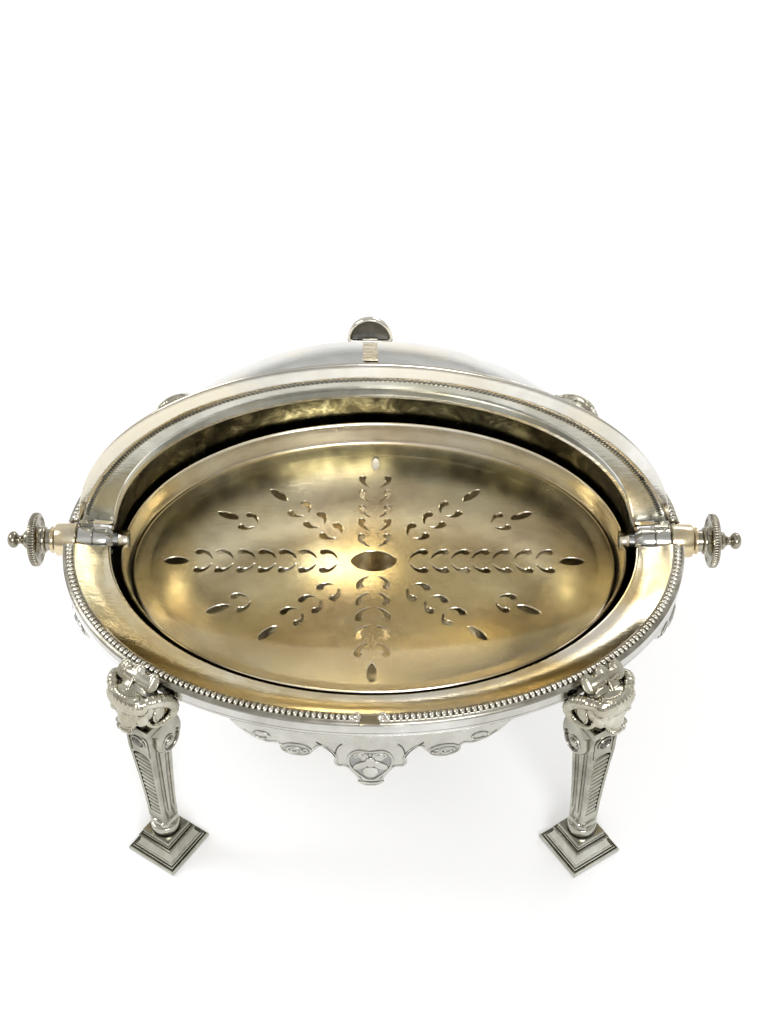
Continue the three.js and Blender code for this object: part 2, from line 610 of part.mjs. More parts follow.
function drainerHoles() {
  const holes = [];
  const headRadius = 1.3;
  for (const end of [-1, 1]) {
    for (const hand of [-1, 1]) {
      [20.5, 29, 37.3, 45.6, 54, 62.8, 71.4].forEach((along) => {
        holes.push(comma([end * along, hand * 5.1], end * 6, hand * 4.2, headRadius));
      });
      [14, 23, 31, 40.3, 49].forEach((along) => {
        const upright = comma([along, hand * 5.4], 6, hand * 4.4, headRadius);
        holes.push(placed(upright, end * Math.PI / 2, [0, 0]));
      });
      const quarter = (points) => points.map(([x, y]) => [end * x, hand * y]);
      const diagonal = Math.atan2(39, 41.3);
      const stem = [Math.cos(diagonal), Math.sin(diagonal)];
      for (const reach of [25.5, 35, 44.5]) {
        for (const wing of [-1, 1]) {
          const small = comma([0, wing * 4], 5.4, wing * 3.2, headRadius);
          holes.push(quarter(placed(small, diagonal, [stem[0] * reach, stem[1] * reach])));
        }
      }
      holes.push(quarter(leaf([stem[0] * 51, stem[1] * 51], [stem[0] * 61, stem[1] * 61], 3.6)));
      const branch = Math.atan2(26, 60.8);
      const arm = [Math.cos(branch), Math.sin(branch)];
      for (const wing of [-1, 1]) {
        const small = comma([0, wing * 3.8], 5.4, wing * 3, headRadius);
        holes.push(quarter(placed(small, branch, [arm[0] * 58.5, arm[1] * 58.5])));
      }
      holes.push(quarter(leaf([arm[0] * 61.5, arm[1] * 61.5], [arm[0] * 71.5, arm[1] * 71.5], 3.6)));
    }
    holes.push(leaf([end * 74.8, 0], [end * 85.2, 0], 4.3));
    holes.push(leaf([0, end * 53.5], [0, end * 63], 3.6));
  }
  const eye = [];
  const sides = 12;
  for (let i = 0; i < sides; i += 1) {
    const angle = 2 * Math.PI * i / sides;
    eye.push([9.3 * Math.cos(angle), 5.7 * Math.sin(angle) * Math.abs(Math.sin(angle)) ** 0.25]);
  }
  holes.push(eye);
  const wide = DRAINER_HALF_LENGTH / PATTERN_HALF_LENGTH;
  const deep = DRAINER_HALF_WIDTH / PATTERN_HALF_WIDTH;
  return holes.map((points) => points.map(([x, y]) => [x * wide, y * deep]));
}

function cutter(points) {
  const shape = new THREE.Shape(points.map(([x, y]) => new THREE.Vector2(x, y)));
  const prism = new THREE.ExtrudeGeometry(shape, { depth: 4, bevelEnabled: false });
  return toSolid(prism.translate(0, 0, -2.5));
}

function drainerPlate() {
  const flatLength = DRAINER_HALF_LENGTH - DRAINER_BORDER;
  const flatWidth = DRAINER_HALF_WIDTH - DRAINER_BORDER;
  const rise = 0.8;
  const plate = ovalTurned([
    [0, 0, 0],
    [flatLength, flatWidth, 0],
    [DRAINER_HALF_LENGTH, DRAINER_HALF_WIDTH, rise],
    [DRAINER_HALF_LENGTH, DRAINER_HALF_WIDTH, rise - DRAINER_THICKNESS],
    [flatLength, flatWidth, -DRAINER_THICKNESS],
    [0, 0, -DRAINER_THICKNESS],
  ], 48);
  return plate.subtract(join(drainerHoles().map(cutter))).translate([0, 0, RIM_HEIGHT - DRAINER_TOP_DROP]);
}

// Legs, drawn with the outer face towards +Y and the feet on Z = 0

function plinth() {
  const half = PLINTH_SIDE / 2;
  const top = PLINTH_TOP_SIDE / 2;
  return squareTurned([
    [0, 0], [half - 0.7, 0], [half, 0.9], [half, 1.9], [half - 1.5, 2.9], [half - 2.6, 5.8],
    [top + 1.2, PLINTH_HEIGHT - 4.4], [top + 0.7, PLINTH_HEIGHT - 3.3], [top, PLINTH_HEIGHT - 3.1],
    [top, PLINTH_HEIGHT], [0, PLINTH_HEIGHT],
  ]);
}

// Round drum with a square cup of four leaves on it
function collar() {
  const foot = PLINTH_HEIGHT + SEAT_GAP;
  const top = foot + COLLAR_HEIGHT;
  const drum = roundTurned([
    [0, foot], [COLLAR_RADIUS, foot], [COLLAR_RADIUS, foot + DRUM_HEIGHT - 0.6],
    [COLLAR_RADIUS - 0.7, foot + DRUM_HEIGHT], [0, foot + DRUM_HEIGHT],
  ], 14);
  const half = SHAFT_FOOT_SIDE / 2;
  const cup = squareTurned([
    [0, foot + DRUM_HEIGHT - 0.2], [half - 1, foot + DRUM_HEIGHT - 0.2], [half + 0.2, top - 1.6],
    [half + 0.7, top], [0, top],
  ]);
  const leaves = [0, 90, 180, 270].map((turn) => (
    ball([0, half - 0.4, foot + DRUM_HEIGHT + 1.6], [3.4, 1.9, 2.2], 6, 4).rotate([0, 0, turn])
  ));
  return join([drum, cup, ...leaves]);
}

function legPost() {
  const foot = PLINTH_HEIGHT + COLLAR_HEIGHT + 2 * SEAT_GAP;
  const top = RIM_HEIGHT - HEAD_HEIGHT - SEAT_GAP;
  const neck = top - CAPITAL_HEIGHT;
  const half = (height) => {
    const share = (height - foot) / (neck - foot);
    return (SHAFT_FOOT_SIDE + share ** 1.5 * (SHAFT_HEAD_SIDE - SHAFT_FOOT_SIDE)) / 2;
  };
  const levels = [0, 0.35, 0.7, 1].map((share) => foot + share * (neck - foot));
  const shaft = squareTurned([
    [0, foot], ...levels.map((height) => [half(height), height]), [half(neck) + 0.5, top - 3], [0, top - 3],
  ]);
  const [low, high] = [foot + 4, neck - 2];
  const comb = new THREE.Shape();
  comb.moveTo(12, low);
  comb.lineTo(12, high);
  for (let i = REED_COUNT; i > 0; i -= 1) {
    const height = low + (high - low) * i / REED_COUNT;
    const middle = low + (high - low) * (i - 0.5) / REED_COUNT;
    comb.lineTo(half(height) - 1.2, height);
    comb.lineTo(half(middle) - 0.4, middle);
  }
  comb.lineTo(half(low) - 1.2, low);
  const panelWidth = SHAFT_FOOT_SIDE - 2.6;
  const panel = new THREE.ExtrudeGeometry(comb, { depth: panelWidth, bevelEnabled: false });
  panel.translate(0, 0, -panelWidth / 2);
  panel.applyMatrix4(new THREE.Matrix4().set(0, 0, 1, 0, 1, 0, 0, 0, 0, 1, 0, 0, 0, 0, 0, 1));
  let solid = shaft.subtract(toSolid(panel));
  const lean = Math.atan((half(high) - half(low)) / (high - low));
  for (const side of [-1, 1]) {
    for (const place of [-1.6, 1.6]) {
      const flute = new THREE.BoxGeometry(1.6, 1.5, high - low);
      flute.rotateY(side * lean);
      flute.translate(side * (half(low) + half(high)) / 2, place, (low + high) / 2);
      solid = solid.subtract(toSolid(flute));
    }
  }
  const abacus = squareTurned([
    [0, top - 3.2], [CAPITAL_SIDE / 2 - 1.2, top - 3.2], [CAPITAL_SIDE / 2, top - 1.8],
    [CAPITAL_SIDE / 2, top - 0.6], [CAPITAL_SIDE / 2 - 0.5, top], [0, top],
  ]);
  const scrollPlace = [0, 1 - CAPITAL_SIDE / 2 + SCROLL_RADIUS - 1.8, top - 0.4 - SCROLL_RADIUS];
  const scrollEnd = CAPITAL_SIDE / 2 + 0.3;
  const scroll = rodAlongX(-scrollEnd, scrollEnd, SCROLL_RADIUS, 14);
  const sunk = [-1, 1].map((side) => (
    rodAlongX(side * (scrollEnd - 1.2), side * (scrollEnd + 1), SCROLL_RADIUS - 1.7, 10)
  ));
  const eyes = rodAlongX(-scrollEnd, scrollEnd, 2.3, 8);
  const roll = scroll.subtract(sunk[0]).subtract(sunk[1]).add(eyes).translate(scrollPlace);
  const drop = ball([0, scrollPlace[1] - 1.6, scrollPlace[2] - SCROLL_RADIUS - 1.6], [6.6, 2.4, 4], 6, 4);
  const brow = ball([0, half(neck) + 0.4, top - 11], [4.2, 1.1, 5.6], 8, 4);
  const boss = ball([0, half(neck) + 1.2, top - 11], [2.2, 1.1, 1.8], 6, 4);
  return join([solid, abacus, roll, drop, brow, boss]);
}

// Middle line of the right-hand horn, from the brow back and round beside the head, with its radius
const HORN = [
  [6.2, 7, -3, 2], [9.2, 3.6, -2.2, 2.5], [10.8, 0.4, -3.6, 2.6], [11.2, -2.6, -7, 2.5],
  [11.1, -4.8, -11, 2.3], [10.6, -3.6, -15, 2], [9.8, 0, -16.6, 1.6], [8.8, 3.6, -16.4, 1.3],
  [7.6, 5.8, -14.6, 0.9],
];

// A ram's horn: a tapering ribbed rod bent along that line
function horn(side) {
  const line = new THREE.CatmullRomCurve3(HORN.map(([x, y, z]) => new THREE.Vector3(side * x, y, z)));
  const rings = 12;
  const rod = new THREE.CylinderGeometry(1, 1, 1, 6, rings);
  const places = rod.attributes.position;
  for (let i = 0; i < places.count; i += 1) {
    const share = places.getY(i) + 0.5;
    const step = share * (HORN.length - 1);
    const from = Math.min(Math.floor(step), HORN.length - 2);
    const radius = HORN[from][3] + (step - from) * (HORN[from + 1][3] - HORN[from][3]);
    const rib = Math.round(share * rings) % 2 === 0 ? 0.9 : 1.06;
    const centre = line.getPoint(share);
    const along = line.getTangent(share);
    const across = new THREE.Vector3(1, 0, 0).addScaledVector(along, -along.x).normalize();
    const up = along.clone().cross(across);
    centre.addScaledVector(across, places.getX(i) * radius * rib);
    centre.addScaledVector(up, places.getZ(i) * radius * rib);
    places.setXYZ(i, centre.x, centre.y, centre.z);
  }
  return toSolid(rod);
}

// A ram's head that looks outwards: three leaves behind, fleece over the brow, muzzle on the abacus
function ramHead() {
  const skull = ball([0, 1.6, -6], [8.4, 6.6, 7.6], 8, 5);
  const brow = ball([0, 6.4, -4], [9, 4.8, 5.2], 10, 5);
  const muzzle = ball([0, 7.4, -12.6], [4.6, 4.4, 7.4], 8, 5);
  const cheeks = [-1, 1].map((side) => ball([side * 4.8, 4.6, -12], [3.6, 4.4, 5.6], 6, 4));
  const neck = ball([0, -0.2, -15], [7.4, 6.8, 6.4], 8, 4);
  const cape = ball([0, -0.6, 0.6], [8.4, 3.6, 4.2], 8, 4);
  const leaves = [-6.4, 0, 6.4].map((place) => (
    ball([0, 0, 0], [2.9, 3.8, 1.1], 6, 4).rotate([-38, 0, 0])
      .translate([place, -0.4, 3.6 - 0.03 * place * place])
  ));
  return join([skull, brow, muzzle, ...cheeks, neck, cape, ...leaves, horn(-1), horn(1)]);
}

function rimClearance() {
  const [length, width] = [STRIP_OUTER_LENGTH + SEAT_GAP, STRIP_OUTER_WIDTH + SEAT_GAP];
  return ovalTurned([
    [0, 0, -BAND_BOTTOM_DROP - 2 * SEAT_GAP],
    [length, width, -BAND_BOTTOM_DROP - 2 * SEAT_GAP, RIM_FULLNESS],
    [length, width, 1.2 + SEAT_GAP, RIM_FULLNESS],
    [0, 0, 1.2 + SEAT_GAP],
  ], RIM_FACETS);
}

function legPlace(right, rear) {
  const lean = LEG_TURN * Math.PI / 180;
  const turn = Math.atan2(rear * Math.cos(lean), right * Math.sin(lean));
  const [x, y] = [RIM_HALF_LENGTH - LEG_END_INSET, RIM_HALF_WIDTH - LEG_FRONT_INSET];
  return { x: right * x, y: rear * y, turn: turn - Math.PI / 2 };
}

function leg(name, right, rear) {
  const { x, y, turn } = legPlace(right, rear);
  const inPlace = (solid) => solid.rotate([0, 0, turn * 180 / Math.PI]).translate([x, y, 0]);
  const floor = block(-40, 40, -40, 40, -80, -HEAD_HEIGHT);
  const head = inPlace(ramHead().subtract(floor)).subtract(rimClearance()).translate([0, 0, RIM_HEIGHT]);
  return [
    piece(`ram_head_${name}`, head, CAST_SILVER()),
    piece(`leg_post_${name}`, inPlace(legPost()), CAST_SILVER()),
    piece(`leg_collar_${name}`, inPlace(collar()), CAST_SILVER()),
    piece(`plinth_${name}`, inPlace(plinth()), SILVER()),
  ];
}

const dish = new THREE.Group();
dish.name = 'revolving_butter_dish';

dish.add(piece('outer_bowl', outerBowl(), SILVER()));
dish.add(piece('rim_cove_front', rimCove(-1), GILT_SILVER()));
dish.add(piece('rim_cove_rear', rimCove(1), GILT_SILVER()));
dish.add(piece('bead_strip_front_left', frontBeads(-1), SILVER()));
dish.add(piece('bead_strip_front_right', frontBeads(1), SILVER()));
dish.add(piece('bead_strip_rear', rearBeads(), SILVER()));
dish.add(piece('rim_band_front', rimBand(-1), SILVER()));
dish.add(piece('rim_band_rear', rimBand(1), SILVER()));
dish.add(piece('apron_front', apron(0), CAST_SILVER()));
dish.add(piece('apron_right', apron(Math.PI / 2), CAST_SILVER()));
dish.add(piece('apron_rear', apron(Math.PI), CAST_SILVER()));
dish.add(piece('apron_left', apron(-Math.PI / 2), CAST_SILVER()));

for (const [rearName, rear] of [['front', -1], ['rear', 1]]) {
  for (const [rightName, right] of [['left', -1], ['right', 1]]) {
    leg(`${rearName}_${rightName}`, right, rear).forEach((mesh) => dish.add(mesh));
  }
}

for (const [name, side] of [['left', -1], ['right', 1]]) {
  dish.add(piece(`hinge_barrel_${name}`, barrel(side), SILVER()));
  dish.add(piece(`inner_knuckle_${name}`, innerKnuckle(side), SILVER()));
  dish.add(piece(`finial_${name}`, finial(side), SILVER()));
  dish.add(piece(`pivot_pin_${name}`, pivotPin(side), STEEL()));
  dish.add(piece(`hanger_lug_${name}`, hangerLug(side), GILT_SILVER()));
}

const lid = new THREE.Group();
lid.name = 'lid';
lid.position.z = PIVOT_HEIGHT;
lid.rotation.x = LID_OPENING * Math.PI / 180;
lid.add(piece('lid_dome', lidDome(), SILVER()));
lid.add(piece('lid_brim', lidBrim(), SILVER()));
lid.add(piece('lid_knuckle_left', lidKnuckle(-1), SILVER()));
lid.add(piece('lid_knuckle_right', lidKnuckle(1), SILVER()));
lid.add(piece('thumb_piece', thumbPiece(), CAST_SILVER()));
dish.add(lid);

dish.add(piece('liner', liner(), GILT_SILVER()));
dish.add(piece('drainer_plate', drainerPlate(), GILT_SILVER()));

export default dish;
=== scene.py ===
"""Revolving butter dish: the looks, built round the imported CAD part. Metres, +Z up, the front is -Y."""
import math

import bmesh
import bpy
import numpy as np
from mathutils import Matrix, Vector


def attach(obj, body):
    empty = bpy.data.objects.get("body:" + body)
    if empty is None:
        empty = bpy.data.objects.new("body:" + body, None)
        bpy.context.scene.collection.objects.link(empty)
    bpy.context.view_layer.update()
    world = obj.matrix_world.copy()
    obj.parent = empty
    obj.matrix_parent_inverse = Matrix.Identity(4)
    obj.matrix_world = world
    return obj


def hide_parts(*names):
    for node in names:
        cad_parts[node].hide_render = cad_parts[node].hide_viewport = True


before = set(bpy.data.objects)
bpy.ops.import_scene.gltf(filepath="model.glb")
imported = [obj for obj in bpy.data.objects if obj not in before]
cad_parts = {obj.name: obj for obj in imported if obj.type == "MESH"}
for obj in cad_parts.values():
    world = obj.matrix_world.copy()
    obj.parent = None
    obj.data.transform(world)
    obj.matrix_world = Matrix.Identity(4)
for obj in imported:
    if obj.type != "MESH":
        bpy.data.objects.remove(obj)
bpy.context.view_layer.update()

# Shapes are drawn in millimetres, and MM turns them into metres. Pairs are half length and half width.
# RIM is the level of the bead line, PIVOT that of the lid's axis, and FULL the fullness of the rim's ovals.
MM = 0.001
RIM = 105.0
PIVOT = 100.6
LID_OPENING = math.radians(-86.7)
FULL = 2.07
BEAD_LINE = (120.0, 92.3)
BEAD_PITCH = 2.2
BAND_LINE = (122.6, 94.9)
BRIM_INNER = (103.7, 79.7)
BRIM_SPREAD = (14.1, 10.1)
KNUCKLE_LEVEL = 5.3
BORE = 2.72
DRAINER_TOP = RIM - 16.4
LEG_PLACE = (84.0, 75.6)
LEG_TURN = math.radians(33.4)
SHAFT_FOOT = 22.0
APRON_REACH = 51.6
TURN = 2 * math.pi
CORNERS = {"front_left": (-1, -1), "front_right": (1, -1), "rear_left": (-1, 1), "rear_right": (1, 1)}


# Materials

def connect(tree, node, inputs):
    """Each input is a value to set or an output to link."""
    for key, value in inputs.items():
        if isinstance(value, bpy.types.NodeSocket):
            tree.links.new(value, node.inputs[key])
        else:
            node.inputs[key].default_value = value


def add_node(tree, kind, inputs, **settings):
    node = tree.nodes.new(kind)
    for key, value in settings.items():
        setattr(node, key, value)
    connect(tree, node, inputs)
    return node


def nodes_of(name):
    mat = bpy.data.materials.new(name)
    mat.use_nodes = True
    return mat, mat.node_tree, mat.node_tree.nodes["Principled BSDF"]


def noise(tree, coords, scale, detail, rough, stretch=(1, 1, 1), distort=0.0):
    mapping = add_node(tree, "ShaderNodeMapping", {"Scale": stretch, "Vector": coords})
    return add_node(tree, "ShaderNodeTexNoise",
                    {"Scale": scale, "Detail": detail, "Roughness": rough, "Distortion": distort,
                     "Vector": mapping.outputs["Vector"]}).outputs["Fac"]


def ramp(tree, value, stops):
    """Stops are (place, colour), where one number is a grey."""
    node = add_node(tree, "ShaderNodeValToRGB", {"Fac": value})
    elements = node.color_ramp.elements
    while len(elements) < len(stops):
        elements.new(0.5)
    for element, (place, colour) in zip(elements, stops):
        element.position = place
        element.color = (*colour, 1) if isinstance(colour, tuple) else (colour, colour, colour, 1)
    return node.outputs["Color"]


def mix(tree, factor, a, b, mode="MIX"):
    inputs = {key: (*value, 1) if isinstance(value, tuple) else value
              for key, value in ((0, factor), (6, a), (7, b))}
    return add_node(tree, "ShaderNodeMix", inputs, data_type="RGBA", blend_type=mode).outputs[2]


def spread(tree, value, low, high, start=0.3, end=0.7):
    return add_node(tree, "ShaderNodeMapRange", {"From Min": start, "From Max": end, "To Min": low,
                                                 "To Max": high, "Value": value}).outputs["Result"]


def metal(name, colours, rough, patch, scratch=0.25, recess=None, depth=None, blush=None, crescent=None):
    """Plated silver: patches of tone, fine polishing marks and an uneven surface. Recesses can be dark, the
    depth of the lid darker and its lip paler (partly tarnish, partly painted reflection), a second tone can
    blush through in wide patches, and the front of the drainer can carry a pale crescent, a painted
    reflection."""
    fine, dents, bump_height = 160.0, 0.15, 0.2 * MM
    mat, tree, bsdf = nodes_of(name)
    coords = tree.nodes.new("ShaderNodeTexCoord").outputs["Object"]
    steps = [(0.28 + 0.44 * i / (len(colours) - 1), c) for i, c in enumerate(colours)]
    colour = ramp(tree, noise(tree, coords, patch, 5, 0.6, distort=0.4), steps)
    small = noise(tree, coords, fine, 4, 0.6)
    colour = mix(tree, spread(tree, small, 0.0, 0.22), colour, tuple(0.72 * v for v in colours[0]))
    if blush:
        tone, size = blush
        wide = noise(tree, coords, size, 3, 0.5, distort=1.2)
        colour = mix(tree, ramp(tree, wide, [(0.46, 0), (0.62, 1)]), colour, tone)
    if crescent or depth:
        split = add_node(tree, "ShaderNodeSeparateXYZ", {0: coords})
    # A painted reflection: a pale crescent across the front of the drainer, placed by position.
    if crescent:
        half_length, half_width = 0.105, 0.047
        squash = add_node(tree, "ShaderNodeMapping",
                          {"Scale": (0.5 / half_length, 0.5 / half_width, 0), "Vector": coords})
        reach = add_node(tree, "ShaderNodeVectorMath", {0: squash.outputs["Vector"]}, operation="LENGTH")
        front = spread(tree, split.outputs["Y"], 0.0, 1.0, 0.0, -0.008)
        zone = ramp(tree, reach.outputs["Value"], [(0.488, 0), (0.510, 0.85), (0.60, 0.7), (0.66, 0.3)])
        colour = mix(tree, mix(tree, 1.0, zone, front, mode="MULTIPLY"), colour, crescent)
    # Partly tarnish, partly painted reflection: by height, dark and mottled low in the lid, pale at its lip.
    if depth:
        level = spread(tree, split.outputs["Z"], 0.0, 1.0, 0.100, 0.190)
        tarnish_and_reflection = list(zip((0.40, 0.52, 0.64), depth))
        cloud = ramp(tree, noise(tree, coords, 70, 6, 0.7, distort=0.8), tarnish_and_reflection)
        low = ramp(tree, level, [(0.13, 1), (0.23, 0)])
        high = ramp(tree, level, [(0.70, 0), (0.80, 1)])
        colour = mix(tree, low, mix(tree, high, colour, depth[3]), cloud)
    if recess:
        tone, reach = recess
        shade = add_node(tree, "ShaderNodeAmbientOcclusion", {"Distance": reach * MM}, samples=6)
        colour = mix(tree, ramp(tree, shade.outputs["AO"], [(0.25, 1), (0.8, 0)]), colour, tone)
    marks = noise(tree, coords, 900, 2, 0.5, stretch=(0.12, 1, 1))
    wave = noise(tree, coords, 45, 2, 0.4)
    bump = add_node(tree, "ShaderNodeBump", {"Strength": scratch, "Distance": bump_height,
                                             "Height": mix(tree, dents, marks, wave)})
    dull = spread(tree, noise(tree, coords, patch * 1.7, 6, 0.65), *rough)
    connect(tree, bsdf, {"Base Color": colour, "Metallic": 1.0, "Roughness": dull,
                         "Normal": bump.outputs["Normal"]})
    return mat


BRIGHT = metal("silver_bright", [(0.44, 0.43, 0.39), (0.62, 0.61, 0.57), (0.80, 0.79, 0.76)],
               (0.10, 0.22), 18)
DOME = metal("silver_dome", [(0.50, 0.50, 0.47), (0.68, 0.68, 0.65), (0.84, 0.84, 0.82)], (0.10, 0.24), 14,
             blush=((0.78, 0.72, 0.58), 9))
BRIM = metal("silver_brim", [(0.52, 0.50, 0.43), (0.70, 0.68, 0.62), (0.86, 0.85, 0.81)], (0.10, 0.24), 20,
             blush=((0.74, 0.68, 0.54), 11))
BRIM_LIP = metal("silver_brim_lip", [(0.36, 0.35, 0.28), (0.52, 0.51, 0.44), (0.72, 0.71, 0.65)],
                 (0.14, 0.28), 26)
BOWL_INSIDE = metal("silver_bowl_inside", [(0.20, 0.17, 0.11), (0.36, 0.30, 0.19), (0.56, 0.48, 0.32)],
                    (0.22, 0.42), 26)
# depth paints the inside dark low down and pale at the lip: partly tarnish, partly painted reflection.
LID_INSIDE = metal("silver_lid_inside",
                   [(0.74, 0.68, 0.54), (0.88, 0.83, 0.68), (0.94, 0.90, 0.78), (0.97, 0.95, 0.88)],
                   (0.14, 0.30), 16, blush=((0.90, 0.80, 0.58), 9),
                   depth=((0.03, 0.027, 0.015), (0.10, 0.09, 0.05), (0.30, 0.28, 0.18), (0.94, 0.93, 0.89)))
COVE = metal("silver_cove_gold",
             [(0.60, 0.42, 0.20), (0.84, 0.68, 0.38), (0.95, 0.86, 0.62), (0.98, 0.95, 0.86)],
             (0.10, 0.24), 15, blush=((0.90, 0.86, 0.78), 8))
LINER = metal("silver_liner_gold",
              [(0.66, 0.57, 0.42), (0.84, 0.76, 0.58), (0.92, 0.87, 0.72), (0.97, 0.94, 0.86)],
              (0.12, 0.26), 18, blush=((0.90, 0.80, 0.70), 10), scratch=0.10)
# crescent paints a pale crescent on the front of the plate: a painted reflection.
PLATE = metal("silver_drainer_gold",
              [(0.52, 0.41, 0.32), (0.80, 0.70, 0.53), (0.90, 0.83, 0.63), (0.96, 0.92, 0.76),
               (0.98, 0.97, 0.90)],
              (0.12, 0.28), 17, blush=((0.90, 0.80, 0.52), 9), scratch=0.10, crescent=(0.98, 0.95, 0.88))
CAST = metal("silver_cast", [(0.20, 0.195, 0.15), (0.37, 0.36, 0.29), (0.60, 0.59, 0.51)], (0.12, 0.28), 60,
             recess=((0.03, 0.03, 0.022), 2.6))
HEAD = metal("silver_cast_head", [(0.34, 0.31, 0.23), (0.52, 0.49, 0.39), (0.76, 0.74, 0.66)], (0.12, 0.28),
             70, recess=((0.03, 0.028, 0.02), 2.6))
PALE_CAST = metal("silver_apron", [(0.46, 0.45, 0.40), (0.58, 0.57, 0.52), (0.70, 0.69, 0.64)],
                  (0.18, 0.34), 60, recess=((0.16, 0.155, 0.14), 1.3))
KNOB = metal("silver_knob", [(0.24, 0.22, 0.17), (0.40, 0.37, 0.29), (0.62, 0.59, 0.50)], (0.12, 0.26), 60,
             recess=((0.04, 0.035, 0.03), 2.0))
BEADS = metal("silver_beads", [(0.50, 0.46, 0.36), (0.74, 0.70, 0.60), (0.90, 0.88, 0.82)], (0.12, 0.26), 60,
              recess=((0.05, 0.045, 0.035), 1.2))
GROUND = metal("silver_dark_ground", [(0.06, 0.06, 0.055), (0.16, 0.15, 0.13), (0.34, 0.32, 0.28)],
               (0.22, 0.40), 60)
# Mid-dark tone of the strip under the beads: a painted shadow band along the bead line.
BEAD_BED_SHADE = metal("silver_bead_bed_shade", [(0.18, 0.165, 0.13), (0.36, 0.34, 0.28), (0.58, 0.56, 0.50)],
                 (0.20, 0.36), 50)
GROUND_PALE = metal("silver_grey_ground", [(0.24, 0.24, 0.23), (0.36, 0.36, 0.34), (0.50, 0.49, 0.47)],
                    (0.25, 0.42), 60)
FOOT = metal("silver_foot", [(0.32, 0.31, 0.25), (0.50, 0.49, 0.42), (0.74, 0.73, 0.67)], (0.10, 0.24), 45,
             recess=((0.05, 0.05, 0.04), 2.2))
GILT_HINGE = metal("silver_hinge_gold", [(0.50, 0.38, 0.20), (0.72, 0.60, 0.38), (0.88, 0.83, 0.70)],
                   (0.12, 0.24), 50)
STEEL = metal("pin_metal", [(0.30, 0.30, 0.29), (0.46, 0.46, 0.45)], (0.3, 0.45), 80)


# Mesh helpers

def add_object(name, verts, faces, mats, body="dish", slots=None, angle=40):
    mesh = bpy.data.meshes.new(name)
    mesh.from_pydata([tuple(c * MM for c in v) for v in verts], [], faces)
    mesh.validate()
    for mat in mats:
        mesh.materials.append(mat)
    if slots is not None:
        mesh.polygons.foreach_set("material_index", slots)
    obj = bpy.data.objects.new(name, mesh)
    bpy.context.scene.collection.objects.link(obj)
    work = bmesh.new()
    work.from_mesh(mesh)
    bmesh.ops.remove_doubles(work, verts=work.verts, dist=1e-6)
    bmesh.ops.recalc_face_normals(work, faces=work.faces)
    work.to_mesh(mesh)
    work.free()
    mesh.polygons.foreach_set("use_smooth", [True] * len(mesh.polygons))
    mesh.set_sharp_from_angle(angle=math.radians(angle))
    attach(obj, body)
    return obj


def soften(obj, width):
    bevel = obj.modifiers.new("soft_edges", "BEVEL")
    bevel.width = width * MM
    bevel.segments = 2
    bevel.limit_method = "ANGLE"
    bevel.angle_limit = math.radians(35)
    bevel.harden_normals = False


def baked(obj):
    """The finished mesh of an object, which itself goes."""
    mesh = bpy.data.meshes.new_from_object(obj.evaluated_get(bpy.context.evaluated_depsgraph_get()))
    bpy.data.objects.remove(obj)
    return mesh


class Shape:
    """Gathers closed pieces of mesh into one object."""

    def __init__(self, verts=(), faces=(), slots=()):
        self.verts = list(verts)
        self.faces = list(faces)
        self.slots = list(slots)

    def add(self, verts, faces, slot=0):
        start = len(self.verts)
        self.verts += [tuple(float(c) for c in v) for v in verts]
        self.faces += [tuple(start + i for i in f) for f in faces]
        self.slots += [slot] * len(faces)
        return self

    def take(self, mesh, lift=0.0):
        return self.add([(v.co.x / MM, v.co.y / MM, v.co.z / MM + lift) for v in mesh.vertices],
                        [tuple(p.vertices) for p in mesh.polygons])

    def ball(self, *args, slot=0, **kw):
        return self.add(*globe(*args, **kw), slot)

    def rod(self, *args, slot=0, **kw):
        return self.add(*tube(*args, **kw), slot)

    def moved(self, function):
        return Shape([tuple(function(*v)) for v in self.verts], self.faces, self.slots)

    def build(self, name, mats, **kw):
        return add_object(name, self.verts, self.faces, mats, slots=self.slots, **kw)


def grid_faces(rows, columns, wrap_rows=False, wrap_columns=False):
    faces = []
    for i in range(rows if wrap_rows else rows - 1):
        for j in range(columns if wrap_columns else columns - 1):
            here, there = i * columns, (i + 1) % rows * columns
            after = (j + 1) % columns
            faces.append((here + j, here + after, there + after, there + j))
    return faces


def capped_faces(rows, columns):
    """A tube of faces with both ends closed."""
    last = (rows - 1) * columns
    ends = [tuple(range(columns)), tuple(range(last, last + columns))]
    return grid_faces(rows, columns, wrap_columns=True) + ends


def fuller(value, fullness):
    return math.copysign(abs(value) ** (2 / fullness), value)


def oval_at(length, width, angle, fullness=2.0):
    """Angle 0 is the front middle."""
    return length * fuller(math.sin(angle), fullness), -width * fuller(math.cos(angle), fullness)


def circle(count, start=0.0, end=TURN):
    return np.linspace(start, end, count)


def lengths_along(line):
    return np.concatenate([[0], np.cumsum(np.hypot(*np.diff(line, axis=0).T))])


def smooth_loop(points, closed=True, each=4):
    """A rounded run through the points."""
    pts = [np.array(p, float) for p in points]
    count = len(pts)
    out = []
    for i in range(count if closed else count - 1):
        p0 = pts[(i - 1) % count] if closed or i else pts[0]
        p1 = pts[i]
        p2 = pts[(i + 1) % count]
        p3 = pts[(i + 2) % count] if closed or i + 2 < count else pts[-1]
        for k in range(each):
            t = k / each
            out.append(0.5 * (2 * p1 + (p2 - p0) * t + (2 * p0 - 5 * p1 + 4 * p2 - p3) * t * t
                              + (3 * p1 - p0 - 3 * p2 + p3) * t ** 3))
    if not closed:
        out.append(pts[-1])
    return out


